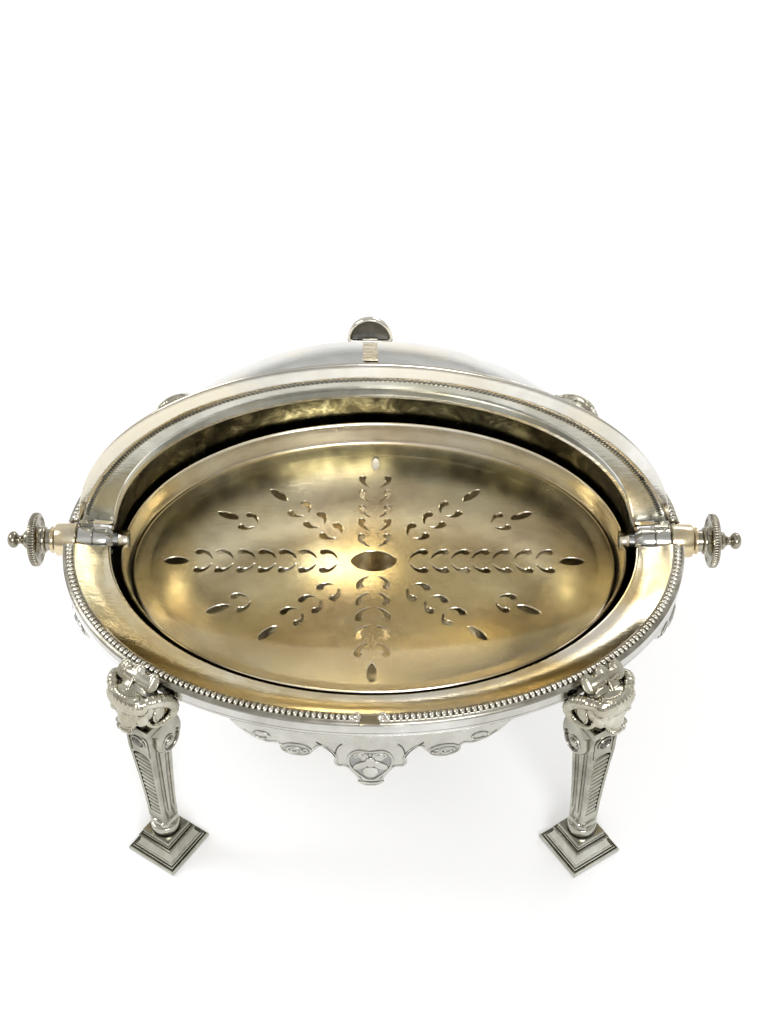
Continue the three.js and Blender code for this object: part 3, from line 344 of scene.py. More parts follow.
def oval_ring(profile, side=0, gap=0.0, notch=0.0):
    """A ring, or with side -1 or 1 the front or rear half, which stops short of the hinge by gap.
    Profile points are (half length, half width, height, fullness). notch opens the front middle."""
    steps = 288
    verts = []
    rows = steps + (1 if side else 0)
    for i in range(rows):
        for length, width, height, fullness in profile:
            low, high = 0.0, TURN
            if side:
                high = math.acos((gap / width) ** (fullness / 2))
                low = -high
            if notch:
                middle = math.asin((abs(notch) / length) ** (fullness / 2))
                low, high = sorted((math.copysign(middle, notch), math.copysign(high, notch)))
            x, y = oval_at(length, width, low + (high - low) * i / steps, fullness)
            verts.append((x, -y if side > 0 else y, height))
    count = len(profile)
    if side:
        return verts, capped_faces(rows, count)
    return verts, grid_faces(rows, count, wrap_rows=True, wrap_columns=True)


def oval_dish(profile):
    """A dish closed on the axis at both ends of its profile."""
    steps = 160
    inner = profile[1:-1]
    count = len(inner)
    verts = []
    for i in range(steps):
        verts += [(*oval_at(length, width, TURN * i / steps), height) for length, width, height in inner]
    faces = grid_faces(steps, count, wrap_rows=True)
    for end, j in ((profile[0], 0), (profile[-1], count - 1)):
        hub = len(verts)
        verts.append((0, 0, end[2]))
        faces += [(hub, i * count + j, (i + 1) % steps * count + j) for i in range(steps)]
    return verts, faces


def turned(profile, steps=64, axis="x"):
    """Round work. Profile points are (place along the axis, radius)."""
    verts = []
    for i in range(steps):
        angle = TURN * i / steps
        for along, radius in profile:
            across = (radius * math.cos(angle), radius * math.sin(angle))
            verts.append((along, *across) if axis == "x" else (*across, along))
    return verts, grid_faces(steps, len(profile), wrap_rows=True, wrap_columns=True)


def globe(centre, radii, rows, columns, turn=None):
    verts = []
    for i in range(1, rows):
        lean = math.pi * i / rows
        for j in range(columns):
            around = TURN * j / columns
            verts.append(Vector((radii[0] * math.sin(lean) * math.cos(around),
                                 radii[1] * math.sin(lean) * math.sin(around), radii[2] * math.cos(lean))))
    faces = grid_faces(rows - 1, columns, wrap_columns=True)
    for pole, first in ((radii[2], 0), (-radii[2], (rows - 2) * columns)):
        hub = (rows - 1) * columns + (1 if first else 0)
        verts.append(Vector((0, 0, pole)))
        faces += [(hub, first + j, first + (j + 1) % columns) for j in range(columns)]
    if turn:
        verts = [turn @ v for v in verts]
    return [tuple(v + Vector(centre)) for v in verts], faces


def tube(path, radii, sides, normal=(0.13, 0.21, 0.97)):
    """A rod along a path, closed at both ends. Radii is one number, or one for each point."""
    points = [Vector(p) for p in path]
    if isinstance(radii, float):
        radii = [radii] * len(points)
    verts = []
    for i, point in enumerate(points):
        ahead = (points[min(i + 1, len(points) - 1)] - points[max(i - 1, 0)]).normalized()
        side = ahead.cross(Vector(normal)).normalized()
        up = side.cross(ahead).normalized()
        for j in range(sides):
            angle = TURN * j / sides
            verts.append(point + float(radii[i]) * (math.cos(angle) * side + math.sin(angle) * up))
    return [tuple(v) for v in verts], capped_faces(len(points), sides)


def loft(sections):
    """A solid through level outlines. Each section is (height, list of (x, y))."""
    verts = [(x, y, z) for z, outline in sections for x, y in outline]
    return verts, capped_faces(len(sections), len(sections[0][1]))


def stacked(profile):
    """A square moulding. Profile points are (half side, height)."""
    return loft([(z, [(half, half), (-half, half), (-half, -half), (half, -half)]) for half, z in profile])


def flat_plate(name, outlines, extrude, bevel, rounds):
    """A flat sheet with eased edges. The first outline is its edge and the others are openings."""
    curve = bpy.data.curves.new(name, "CURVE")
    curve.dimensions = "2D"
    curve.fill_mode = "BOTH"
    for outline in outlines:
        spline = curve.splines.new("POLY")
        spline.points.add(len(outline) - 1)
        for point, (x, y) in zip(spline.points, outline):
            point.co = (x * MM, y * MM, 0, 1)
        spline.use_cyclic_u = True
    curve.extrude = extrude * MM
    curve.bevel_depth = bevel * MM
    curve.bevel_resolution = rounds
    curve.offset = -bevel * MM
    holder = bpy.data.objects.new(name, curve)
    bpy.context.scene.collection.objects.link(holder)
    return baked(holder)


def lift_to_pivot(x, y, z):
    return x, y, z + PIVOT


def lid_place(x, y, z):
    """From the lid as drawn shut about its axis to where it stands open."""
    c, s = math.cos(LID_OPENING), math.sin(LID_OPENING)
    return x, y * c - z * s, y * s + z * c + PIVOT


# Rim: cove, beads and band

def on_rim(points):
    """Profile points given from the bead line's height."""
    return [(length, width, RIM + z, FULL) for length, width, z in points]


def cove_profile():
    top = []
    for i in range(2, 13):
        share = i / 12
        sag = 1.7 * (1 - share ** 2)
        top.append((104.6 + share * 13.4, 80.6 + share * 9.7, RIM - sag - 0.25 * math.sin(math.pi * share),
                    2 + share * (FULL - 2)))
    lip = [(104.35, 80.35, RIM - 2.3, 2.0), (104.6, 80.6, RIM - 2.9, 2.0)]
    return [(105.2, 81.2, RIM - 1.35, 2.0)] + top + on_rim([(118.0, 90.3, -1.2)]) + lip


BAND = on_rim([(120.9, 93.2, -1.3), (122.3, 94.6, -1.3), (122.6, 94.9, -1.7), (122.6, 94.9, -5.4),
               (122.1, 94.4, -5.6), (122.6, 94.9, -5.9), (122.6, 94.9, -6.9), (122.2, 94.5, -7.2),
               (121.2, 93.5, -7.2)])
STRIP = on_rim([(118.2, 90.5, -0.2), (118.6, 90.9, 0.1), (119.2, 91.5, -0.1), (120.8, 93.1, -0.1),
                (121.3, 93.6, 0.1), (121.7, 94.0, -0.3), (122.7, 94.9, -0.5), (122.8, 95.0, -0.8),
                (122.5, 94.8, -1.0), (118.3, 90.6, -1.0)])

for name, side in (("front", -1), ("rear", 1)):
    cove = add_object(f"cove_{name}", *oval_ring(cove_profile(), side=side, gap=6.2), [COVE])
    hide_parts(f"rim_cove_{name}")

for name, side in (("front", -1), ("rear", 1)):
    band = add_object(f"band_{name}", *oval_ring(BAND, side=side, gap=7.0), [BRIGHT], angle=30)
    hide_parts(f"rim_band_{name}")


def strip_run(side, notch):
    """The bead line from the gap at the front, or from one hinge to the other at the rear."""
    length, width = BEAD_LINE
    limit = math.acos((7.9 / width) ** (FULL / 2))
    start = math.asin((4.4 / length) ** (FULL / 2)) if notch else -limit
    points = []
    for i in range(4001):
        x, y = oval_at(length, width, start + (limit - start) * i / 4000, FULL)
        points.append((x * (notch or 1), -y if side > 0 else y))
    return np.array(points)


def beads(name, side, notch):
    # The strip under the beads takes the painted shadow tone.
    strip = Shape().add(*oval_ring(STRIP, side=side, gap=6.6, notch=notch * 3.7), 1)
    run = strip_run(side, notch)
    steps = lengths_along(run)
    count = int(round(steps[-1] / BEAD_PITCH))
    length, width = BEAD_LINE
    for i in range(count + 1):
        x, y = (np.interp(steps[-1] * i / count, steps, run[:, k]) for k in (0, 1))
        turn = Matrix.Rotation(math.atan2(y / width ** 2, x / length ** 2), 3, "Z")
        strip.ball((x, y, RIM + 0.15), (1.55, 1.04, 1.15), 8, 12, turn=turn)
    if notch:
        x, y = run[0]
        curl = [(x + notch * (0.3 + 1.3 * math.cos(t)), y + 1.7 * math.sin(t), RIM + 0.55)
                for t in circle(25)]
        strip.rod(curl, 0.5, 8, normal=(0, 0, 1))
    for x, y in (run[0], run[-1]):
        strip.ball((x, y, RIM + 0.1), (1.5, 1.5, 1.1), 10, 16)
    return strip.build(f"beads_{name}", [BEADS, BEAD_BED_SHADE], angle=60)


for name, side, notch in (("front_left", -1, -1), ("front_right", -1, 1), ("rear", 1, 0)):
    row = beads(name, side, notch)
    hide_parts(f"bead_strip_{name}")


def notch_bed():
    """Dark hollow between the two ends of the bead line, where the stem of the thumb-piece drops in."""
    half, thick = 3.5, 0.12
    profile = ((-90.9, 0.35), (-92.3, 0.05), (-93.9, -0.1), (-94.6, -0.75))
    verts = []
    for i in range(9):
        x = -half + 2 * half * i / 8
        sag = 0.75 * (1 - (x / half) ** 2)
        verts += [(x, y, RIM - 0.45 + z - sag * 0.5) for y, z in profile]
    faces = grid_faces(9, len(profile))
    faces += [tuple(len(verts) + v for v in reversed(f)) for f in faces]
    verts += [(x, y, z - thick) for x, y, z in verts]
    bed = add_object("notch_bed", verts, faces, [BOWL_INSIDE])


notch_bed()


# Bowl and lid

def half_shell(length, radius, low, high, pole):
    """Half a spheroid of sheet, turned about X from angle low to high, open at its ends by radius pole."""
    rows, columns, wall = 96, 72, 1.2
    verts = []
    for reach, size in ((length, radius), (length - wall, radius - wall)):
        end = math.acos(pole / size)
        for i in range(columns + 1):
            along = -end + 2 * end * i / columns
            for j in range(rows + 1):
                angle = low + (high - low) * j / rows
                r = size * math.cos(along)
                verts.append((reach * math.sin(along), r * math.cos(angle), r * math.sin(angle)))
    outer = grid_faces(columns + 1, rows + 1)
    shift = (columns + 1) * (rows + 1)
    inner = [tuple(shift + v for v in f) for f in outer]
    edge = [i * (rows + 1) for i in range(columns + 1)]
    edge += [columns * (rows + 1) + j for j in range(1, rows + 1)]
    edge += [i * (rows + 1) + rows for i in range(columns - 1, -1, -1)]
    edge += list(range(rows - 1, 0, -1))
    rim = [(a, b, shift + b, shift + a) for a, b in zip(edge, edge[1:] + edge[:1])]
    return verts, outer + inner + rim, [0] * len(outer) + [1] * len(inner) + [0] * len(rim)


verts, faces, slots = half_shell(106.3, 82.8, math.pi, TURN, 5.7)
bowl = add_object("bowl", [lift_to_pivot(*v) for v in verts], faces, [BRIGHT, BOWL_INSIDE], slots=slots)
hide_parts("outer_bowl")

verts, faces, slots = half_shell(103.4, 79.4, 0.0, math.pi, 3.1)
dome = add_object("dome", [lid_place(*v) for v in verts], faces, [DOME, LID_INSIDE], body="lid", slots=slots)
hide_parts("lid_dome")


def brim_share(height):
    """How far in from the outer edge of the brim the engraved line runs, at this height over the pivot."""
    return 0.10 + 0.60 * (1 - math.exp(-height / 35.0))


def brim_point(share, angle):
    """A point of the brim's lower face. Share is 0 at the inner edge and 1 at the outer one."""
    (length, width), (longer, wider) = BRIM_INNER, BRIM_SPREAD
    return *oval_at(length + longer * share, width + wider * share, angle), 3.2 + 1.95 * share


def brim():
    """The flat rim of the lid. Its grid follows the engraved line, inside which it is duller."""
    rows = 240
    parts = [0.0, 0.04, 0.35, 0.7, 0.985, 1.015, 1.3, 1.65, 1.95, 2.0]
    dull_columns = 4
    verts = []
    for i in range(rows + 1):
        line = 1 - brim_share(max(6.0, 85 * math.cos(math.pi / 2 * (2 * i / rows - 1))))
        lower, upper = [], []
        for part in parts:
            share = line * part if part < 1 else line + (1 - line) * (part - 1)
            stop = 5.6 if share > 0.58 else 7.3
            limit = math.acos(stop / (BRIM_INNER[1] + BRIM_SPREAD[1] * share))
            x, y, z = brim_point(share, -limit + 2 * limit * i / rows)
            if part > 1:
                z -= 0.12
            if part == 2.0:
                z += 0.35
            lower.append((x, y, z))
            upper.append((x, y, z + (1.0 if part < 2.0 else 0.45)))
        verts += lower + upper[::-1]
    count = 2 * len(parts)
    slots = ([1] * dull_columns + [0] * (count - dull_columns)) * rows + [0, 0]
    obj = add_object("brim", [lid_place(*v) for v in verts], capped_faces(rows + 1, count), [BRIM, BRIM_LIP],
                     body="lid", angle=50, slots=slots)
    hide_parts("lid_brim")


brim()


def wriggle():
    """The bright-cut zigzag line round the brim."""
    count, end, reach = 360, 1.46, 0.07
    points = []
    for i in range(count + 1):
        turn = end * (2 * i / count - 1)
        line = 1 - brim_share(85 * math.cos(turn))
        x, y, z = brim_point(min(0.99, line + (reach if i % 2 else -reach)), turn)
        points.append((x, y, z - 0.12))
    line = Shape().rod(points, 0.19, 4, normal=(0, 0, 1)).moved(lid_place)
    obj = line.build("wriggle_line", [GROUND], body="lid")


wriggle()


# Hinge ends

def hinge_end(name, sign):
    def round_work(profile, steps=64):
        return turned([(sign * along, radius) for along, radius in profile], steps)

    def piece(title, profile, mat, node):
        obj = Shape().add(*round_work(profile)).moved(lift_to_pivot).build(f"{title}_{name}", [mat])
        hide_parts(f"{node}_{name}")

    piece("barrel", [(118.15, BORE), (118.15, 6.2), (118.5, 6.6), (119.2, 6.7), (126.0, 6.7), (126.6, 6.4),
                     (126.9, 5.5), (127.5, 5.2), (128.2, 5.5), (128.7, 5.4), (128.7, BORE)], GILT_HINGE,
          "hinge_barrel")
    piece("knuckle", [(103.9, BORE), (103.9, 3.3), (104.3, 3.7), (106.2, 5.15), (106.6, 5.3), (111.2, 5.3),
                      (111.55, 5.0), (111.55, BORE)], BRIGHT, "inner_knuckle")
    lug = [(97.8, BORE), (97.8, 3.8), (98.1, 4.0), (101.2, 4.0), (101.5, 3.8), (101.5, BORE)]
    piece("lug", lug, LINER, "hanger_lug")
    neck = [(129.0, 2.9), (129.0, 4.4), (130.6, 4.4), (131.0, 5.2), (131.4, 5.5), (132.0, 5.5), (132.2, 5.1),
            (133.2, 5.6), (134.0, 7.2), (133.8, 8.6), (133.4, 9.4), (133.4, 10.0), (133.7, 10.4)]
    rim = [(136.2, 10.4), (136.6, 10.0), (136.6, 9.3), (136.9, 7.6), (138.0, 4.6), (138.5, 3.7), (139.2, 3.6),
           (139.6, 3.2), (140.4, 2.2), (141.2, 1.7), (141.8, 1.7)]
    tip = [(144.2 - 2.4 * math.cos(t), 3.4 * math.sin(t)) for t in circle(14, math.asin(0.55), math.pi)][:-1]
    shape = Shape().add(*round_work(neck + rim + tip + [(146.6, 0.05), (129.55, 0.05), (129.5, 2.9)], 72))
    ridges, radius = 60, 10.4
    for i in range(ridges):
        angle = TURN * i / ridges
        centre = (radius * math.cos(angle), radius * math.sin(angle))
        ridge = [(sign * (133.8 + 2.3 * k / 4), *centre) for k in range(5)]
        shape.rod(ridge, [0.3, 0.42, 0.45, 0.42, 0.3], 8)
    obj = shape.moved(lift_to_pivot).build(f"knob_{name}", [KNOB], body=f"{name}_knob", angle=50)
    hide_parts(f"finial_{name}")
    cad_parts[f"pivot_pin_{name}"].material_slots[0].material = STEEL

    wing = Shape().add(*round_work([(111.85, BORE), (111.85, 5.0), (112.2, 5.3), (117.5, 5.3), (117.85, 5.0),
                                    (117.85, BORE)]))
    block = [(sign * x, y, z) for x in (111.9, 117.8) for y in (-5.35, -0.5) for z in (4.1, KNUCKLE_LEVEL)]
    wing.add(block, [(0, 1, 3, 2), (4, 5, 7, 6), (0, 1, 5, 4), (2, 3, 7, 6), (0, 2, 6, 4), (1, 3, 7, 5)])
    obj = wing.moved(lid_place).build(f"lid_knuckle_{name}_turned", [BRIGHT], body="lid")
    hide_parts(f"lid_knuckle_{name}")


for name, sign in (("left", -1), ("right", 1)):
    hinge_end(name, sign)


def thumb_piece():
    """A flared half-disc pad, hollowed on the front face, on a flat stem."""
    middle = 103.4
    pad = [(8.05 * math.cos(t), 99.6 + 10.0 * math.sin(t)) for t in circle(41, end=math.pi)]
    pad += [(-7.6, 99.25), (-4, 99.2), (0, 99.2), (4, 99.2), (7.6, 99.25)]
    count = len(pad)
    front = [(1.0, 0.7), (0.99, 0.25), (0.96, -0.05), (0.91, -0.15), (0.86, 0.0), (0.83, 0.4), (0.8, 0.9),
             (0.6, 1.25), (0.35, 1.35), (0.12, 1.4)]
    back = [(1.0, 1.6), (0.9, 2.5), (0.6, 2.9), (0.12, 3.0)]
    hollow = (5, 9)
    start = len(front) * count

    def face(levels, first):
        last = first + (len(levels) - 1) * count
        rings = grid_faces(len(levels), count, wrap_columns=True)
        return [tuple(first + v for v in ring) for ring in rings] + [tuple(range(last, last + count))]

    verts = [(x * scale, middle + (y - middle) * scale, z) for scale, z in front + back for x, y in pad]
    wall = [(j, (j + 1) % count, start + (j + 1) % count, start + j) for j in range(count)]
    shape = Shape().add(verts, face(front, 0) + face(back, start) + wall)
    for j in range(hollow[0] * count, hollow[1] * count + 1):
        shape.slots[j] = 1
    base = ((-2.8, 86.5), (2.8, 86.5), (2.6, 100.5), (-2.6, 100.5))
    stem = [(x, y, z) for z in (0.3, 1.7) for x, y in base]
    shape.add(stem, [(0, 1, 2, 3), (4, 5, 6, 7), (0, 1, 5, 4), (1, 2, 6, 5), (2, 3, 7, 6), (3, 0, 4, 7)])
    shape = shape.moved(lambda x, y, z: lid_place(-x, -y, z + 6.2))
    obj = shape.build("thumb_pad", [BRIM, GROUND], body="lid", angle=50)
    soften(obj, 0.25)
    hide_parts("thumb_piece")


thumb_piece()


# Liner and drainer

def liner():
    inner = [(0, 0, -38), (30, 21, -37.5), (52, 36, -36), (72, 49, -31.5), (86, 59.5, -24.5),
             (91, 64.5, -19.2), (92.5, 66, -17.8), (97.2, 70.7, -17.1), (97.7, 71.3, -16.6),
             (98.3, 72.0, -14.5), (99.2, 73.0, -11.0), (99.8, 73.7, -8.2), (100.1, 74.1, -7.4)]
    lip = [(100.6, 74.6, -7.15), (101.0, 75.0, -7.5)]
    outer = [(100.6, 74.6, -8.6), (98.9, 72.6, -16.0), (98.2, 71.8, -18.0), (93.4, 66.9, -18.9),
             (87, 60.5, -25.5), (73, 50, -32.5), (52, 36, -37), (30, 21, -38.5), (0, 0, -39)]
    verts, faces = oval_dish([(a, b, RIM + z) for a, b, z in inner + lip + outer])
    obj = add_object("liner_dish", verts, faces, [LINER], angle=60)
    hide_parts("liner")


liner()


def comma(centre, along, across, head):
    """A comma opening: a round head and a tail that curls to a point at (along, across) behind it."""
    tip = (-abs(along), -abs(across))

    def curve(a, b, c, t):
        return [(1 - t) ** 2 * a[k] + 2 * t * (1 - t) * b[k] + t * t * c[k] for k in (0, 1)]

    points = [(head * math.cos(t), head * math.sin(t))
              for t in circle(13, math.radians(95), math.radians(-145))]
    points += [curve(points[-1], (0.62 * tip[0], 0.12 * tip[1]), tip, t)
               for t in (0.15, 0.3, 0.45, 0.6, 0.75, 0.9)]
    points += [curve(tip, (0.72 * tip[0], head), (-0.1, head), t) for t in (0.06, 0.2, 0.35, 0.5, 0.65, 0.8)]
    flip = -1 if along < 0 else 1
    lean = -1 if across < 0 else 1
    return [(centre[0] + u * flip, centre[1] + v * lean) for u, v in points]


def pointed(half_length, half_width, power, count):
    """An oval opening with points at both ends."""
    points = []
    for i in range(count):
        angle = TURN * i / count
        points.append((half_length * math.cos(angle),
                       half_width * math.sin(angle) * abs(math.sin(angle)) ** power))
    return points


def leaf(start, end, width):
    middle = ((start[0] + end[0]) / 2, (start[1] + end[1]) / 2)
    half = math.dist(start, end) / 2
    c, s = (end[0] - start[0]) / (2 * half), (end[1] - start[1]) / (2 * half)
    return [(middle[0] + u * c - v * s, middle[1] + u * s + v * c)
            for u, v in pointed(half, width / 2, 0.35, 20)]


def placed(points, angle, centre):
    c, s = math.cos(angle), math.sin(angle)
    return [(centre[0] + x * c - y * s, centre[1] + x * s + y * c) for x, y in points]


def drainer_holes():
    """Paired commas and a leaf along both axes, on four stems and on four branches, and the eye."""
    holes = []
    stem = (math.atan2(39, 41.3), (25.5, 35, 44.5), (4, 3.2, 1.5), (51, 61))
    branch = (math.atan2(26, 60.8), (58.5,), (3.8, 3, 1.4), (61.5, 71.5))
    for end in (-1, 1):
        for hand in (-1, 1):
            for along in (20.5, 29, 37.3, 45.6, 54, 62.8, 71.4):
                holes.append(comma((end * along, hand * 5.1), end * 6, hand * 4.2, 1.5))
            for along in (14, 23, 31, 40.3, 49):
                cut = comma((along, hand * 5.4), 6, hand * 4.4, 1.5)
                holes.append(placed(cut, end * math.pi / 2, (0, 0)))
            for angle, reaches, (off, across, head), (start, stop) in (stem, branch):
                arm = np.array((math.cos(angle), math.sin(angle)))
                cuts = [placed(comma((0, wing * off), 5.4, wing * across, head), angle, arm * reach)
                        for reach in reaches for wing in (-1, 1)]
                cuts.append(leaf(arm * start, arm * stop, 3.6))
                holes += [[(end * x, hand * y) for x, y in points] for points in cuts]
        holes.append(leaf((end * 74.8, 0), (end * 85.2, 0), 4.3))
        holes.append(leaf((0, end * 53.5), (0, end * 63), 3.6))
    return holes + [pointed(9.3, 5.7, 0.25, 32)]


def drainer():
    """Pierced flat sheet with a raised border."""
    edge = [(90.5 * math.cos(TURN * i / 160), 64.0 * math.sin(TURN * i / 160)) for i in range(160)]
    shape = Shape().take(flat_plate("drainer_curve", [edge] + drainer_holes(), 0.35, 0.15, 0),
                         DRAINER_TOP - 0.5)
    border = [(90.3, 63.8, 0), (91.5, 65.0, 0.05), (94, 67.5, 0.45), (96.4, 69.9, 0.8), (97.0, 70.5, 0.5),
              (96.7, 70.2, -0.1), (90.3, 63.8, -1.0)]
    shape.add(*oval_ring([(length, width, DRAINER_TOP + z, 2.0) for length, width, z in border]))
    obj = shape.build("drainer", [PLATE], body="drainer", angle=12)
    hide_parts("drainer_plate")


drainer()


# Legs. A leg is drawn about its own upright axis, with its outer face towards +Y.

def at_corner(name):
    right, rear = CORNERS[name]
    turn = math.atan2(rear * math.cos(LEG_TURN), right * math.sin(LEG_TURN)) - math.pi / 2
    c, s = math.cos(turn), math.sin(turn)

    def place(x, y, z):
        return right * LEG_PLACE[0] + x * c - y * s, rear * LEG_PLACE[1] + x * s + y * c, z

    return place


def four_times(shape, title, node, mats, angle=40, edge=0.0):
    for name in CORNERS:
        obj = shape.moved(at_corner(name)).build(f"{title}_{name}", mats, angle=angle)
        if edge:
            soften(obj, edge)
        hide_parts(f"{node}_{name}")


def carve(shape, voxel):
    """Runs overlapping forms together into one casting."""
    voxel = voxel * 1.0
    block = shape.build("casting", [CAST])
    joined = block.modifiers.new("joined", "REMESH")
    joined.mode = "VOXEL"
    joined.voxel_size = voxel * MM
    eased = block.modifiers.new("eased", "SMOOTH")
    eased.factor = 0.5
    eased.iterations = 3
    return Shape().take(baked(block))


def ringlet(centre, outward, radius, thick):
    """A small curl of wool that lies on the surface facing outward."""
    turns, last = 1.3, 14
    normal = Vector(outward).normalized()
    side = normal.cross(Vector((0, 0, 1))).normalized()
    up = side.cross(normal)
    path, sizes = [], []
    for i in range(last + 1):
        share = i / last
        angle = TURN * turns * share
        reach = radius * (1 - 0.75 * share)
        around = math.cos(angle) * side + math.sin(angle) * up
        path.append(Vector(centre) + reach * around + normal * 0.5 * thick * share)
        sizes.append(thick * (0.75 + 0.35 * share))
    return tube(path, sizes, 7, normal=normal)


# Points of the horn and its radius there
HORN = [(6.2, 7, -3, 1.9), (9.2, 3.6, -2.2, 2.5), (10.8, 0.4, -3.6, 2.6), (11.2, -2.6, -7, 2.5),
        (11.1, -4.4, -11, 2.3), (10.6, -3.6, -15, 2), (9.8, 0, -16.4, 1.6), (8.8, 3.6, -16.0, 1.25),
        (7.8, 5.8, -14.0, 0.9), (7.6, 5.4, -12.2, 0.6)]


def ram_heads():
    shape = Shape()
    shape.ball((0, 1.6, -6), (8.2, 6.6, 7.6), 20, 28)
    shape.ball((0, 6.2, -4), (8.8, 4.6, 5.0), 20, 28)
    shape.ball((0, 7.6, -12.4), (4.2, 4.0, 7.0), 20, 28)
    shape.ball((0, 9.6, -16.9), (3.4, 2.6, 1.9), 16, 20)
    shape.ball((0, -0.2, -15), (7.4, 6.6, 6.2), 20, 28)
    shape.ball((0, -0.6, 0.4), (8.2, 3.4, 4.0), 16, 24)
    shape.rod([(0, 2.4, 3.4), (0, 4.6, 1.6), (0, 7.0, -0.2)], [0.5, 0.7, 0.4], 8)
    horn = smooth_loop([p[:3] for p in HORN], closed=False, each=8)
    sizes = np.interp(np.linspace(0, len(HORN) - 1, len(horn)), range(len(HORN)), [p[3] for p in HORN])
    ribs = (1.06, 1.0, 0.90)
    for side in (-1, 1):
        shape.ball((side * 4.6, 4.8, -12.2), (3.2, 4.0, 5.0), 16, 20)
        shape.ball((side * 4.9, 9.2, -8.6), (1.7, 1.3, 1.1), 12, 16)
        shape.rod([(side * 2.9, 10.6, -7.2), (side * 4.8, 10.4, -6.8), (side * 6.8, 8.6, -7.6)],
                  [0.5, 0.6, 0.4], 8)
        shape.rod([(side * 2.2, 11.6, -17.4), (side * 3.4, 10.9, -16.4), (side * 3.2, 10.2, -15.2)],
                  [0.5, 0.5, 0.3], 8)
        shape.rod([(side * x, y, z) for x, y, z in horn], [r * ribs[i % 3] for i, r in enumerate(sizes)], 16)
        shape.ball((side * 7.4, 0.6, -9.4), (2.6, 4.4, 6.0), 16, 20)
        shape.ball((side * 9.2, 1.0, -9.8), (1.6, 3.4, 4.6), 16, 20)
        shape.rod([(side * (9.6 + 0.4 * math.cos(t)), 2.8 + 2.0 * math.cos(t), -10.6 + 2.8 * math.sin(t))
                   for t in circle(21)], 0.5, 8)
    for row, lift in enumerate((0.95, 0.68, 0.44, 0.22, 0.0, -0.2, -0.4)):
        reach = 5.5 if row % 2 else 6.0
        for k in range(int(2 * reach)):
            turn = (k + 0.5 - reach) * 0.245
            out = Vector((math.cos(lift) * math.sin(turn), math.cos(lift) * math.cos(turn), math.sin(lift)))
            centre = Vector((out.x * 9.0, 6.2 + out.y * 4.8, -4.0 + out.z * 5.2))
            shape.add(*ringlet(centre, out, 0.85, 0.42))
    lean = Matrix.Rotation(math.radians(-38), 3, "X")
    for place in (-6.4, 0.0, 6.4):
        middle = Vector((place, -0.5, 3.5 - 0.03 * place * place))
        shape.ball(middle, (2.9, 4.0, 0.7), 14, 24, turn=lean)
        shape.rod([middle + lean @ Vector((0, y, 0.75)) for y in (-2.6, 0, 2.8)], [0.3, 0.4, 0.25], 6)
        for edge in (-1, 1):
            shape.rod([middle + lean @ Vector((edge * 2.5 * math.cos(t), 3.4 * math.sin(t), 0.3))
                       for t in circle(9, -1.2, 1.2)], 0.35, 6)
    head = carve(shape, 0.3)
    verts = []
    for x, y, z in head.verts:
        if -7.6 < z < 1.4:
            y = max(y, -3.6 - x * x / 210)
        verts.append((x, y, RIM + max(z, -18.5)))
    head.verts = verts
    four_times(head, "head", "ram_head", [HEAD], angle=80)


def clamp(value):
    return min(1.0, max(0.0, value))


def shaft_half(z):
    return 3.95 + 1.75 * clamp((z - SHAFT_FOOT) / 46.2) ** 1.5


def post_shaft(shape):
    """The tapered shaft: a sunk panel with reeds on the outer face, and two flutes on each side."""
    sections = []
    for i in range(65):
        z = SHAFT_FOOT + i * (84.0 - SHAFT_FOOT) / 64
        half = shaft_half(z)
        wide = half - 1.5
        sunk = 0.9 * clamp((z - 26.8) / 0.8) * clamp((67.4 - z) / 0.8)
        if z > 64.5:
            wide *= math.sqrt(max(0.04, 1 - ((z - 64.5) / 3.2) ** 2))
        flute = 1.15 * clamp((z - 24.5) / 2) * clamp((70 - z) / 3)
        face = [(half, half), (wide + 0.15, half), (wide, half - sunk), (-wide, half - sunk),
                (-wide - 0.15, half), (-half, half)]
        hollows = [(middle * half / 4 + 1.15 * math.cos(t), flute * math.sin(t))
                   for middle in (1.75, -1.75) for t in circle(7, end=math.pi)]
        left = [(-half + depth, place) for place, depth in hollows]
        right = [(half - depth, place) for place, depth in reversed(hollows)]
        sections.append((z, face + left + [(-half, -half), (half, -half)] + right))
    shape.add(*loft(sections))
    count = len(sections[0][1])
    for i in range(len(sections) - 1):
        for j in (8, 9, 15, 16, 24, 25, 31, 32):
            shape.slots[i * count + j] = 1
    for k in range(14):
        z = 28.3 + 2.72 * k
        half = shaft_half(z)
        wide = half - 1.6
        profile = [(-wide, 0.3), (-wide, 1.12), (-wide + 0.3, 1.3), (wide - 0.3, 1.3), (wide, 1.12),
                   (wide, 0.3)]
        verts, faces = turned(profile, 20)
        shape.add([(x, y + half - 1.25, w + z) for x, y, w in verts], faces)


def post_face(shape):
    """The jewel over the reeds, under its arch."""
    half = shaft_half(75)
    shape.rod([(3.1 * math.cos(t), half + 0.15, 74.8 + 2.7 * math.sin(t)) for t in circle(33)], 0.42, 8)
    shape.ball((0, half, 74.8), (2.3, 1.1, 1.9), 16, 24, slot=1)
    arch = [(4.4, half + 0.1, 67.5), (4.5, half + 0.1, 74)]
    arch += [(4.5 * math.cos(t), half + 0.2, 75.5 + 5.2 * math.sin(t))
             for t in circle(17, 0.1, math.pi - 0.1)]
    arch += [(-4.5, half + 0.1, 74), (-4.4, half + 0.1, 67.5)]
    shape.rod(arch, 0.45, 8)
    shape.add(*stacked([(5.7, 80.6), (6.6, 81.2), (7.2, 82.2), (7.4, 83.0), (7.3, 83.4), (7.7, 83.9),
                        (7.7, 85.5), (7.3, 86.2)]))


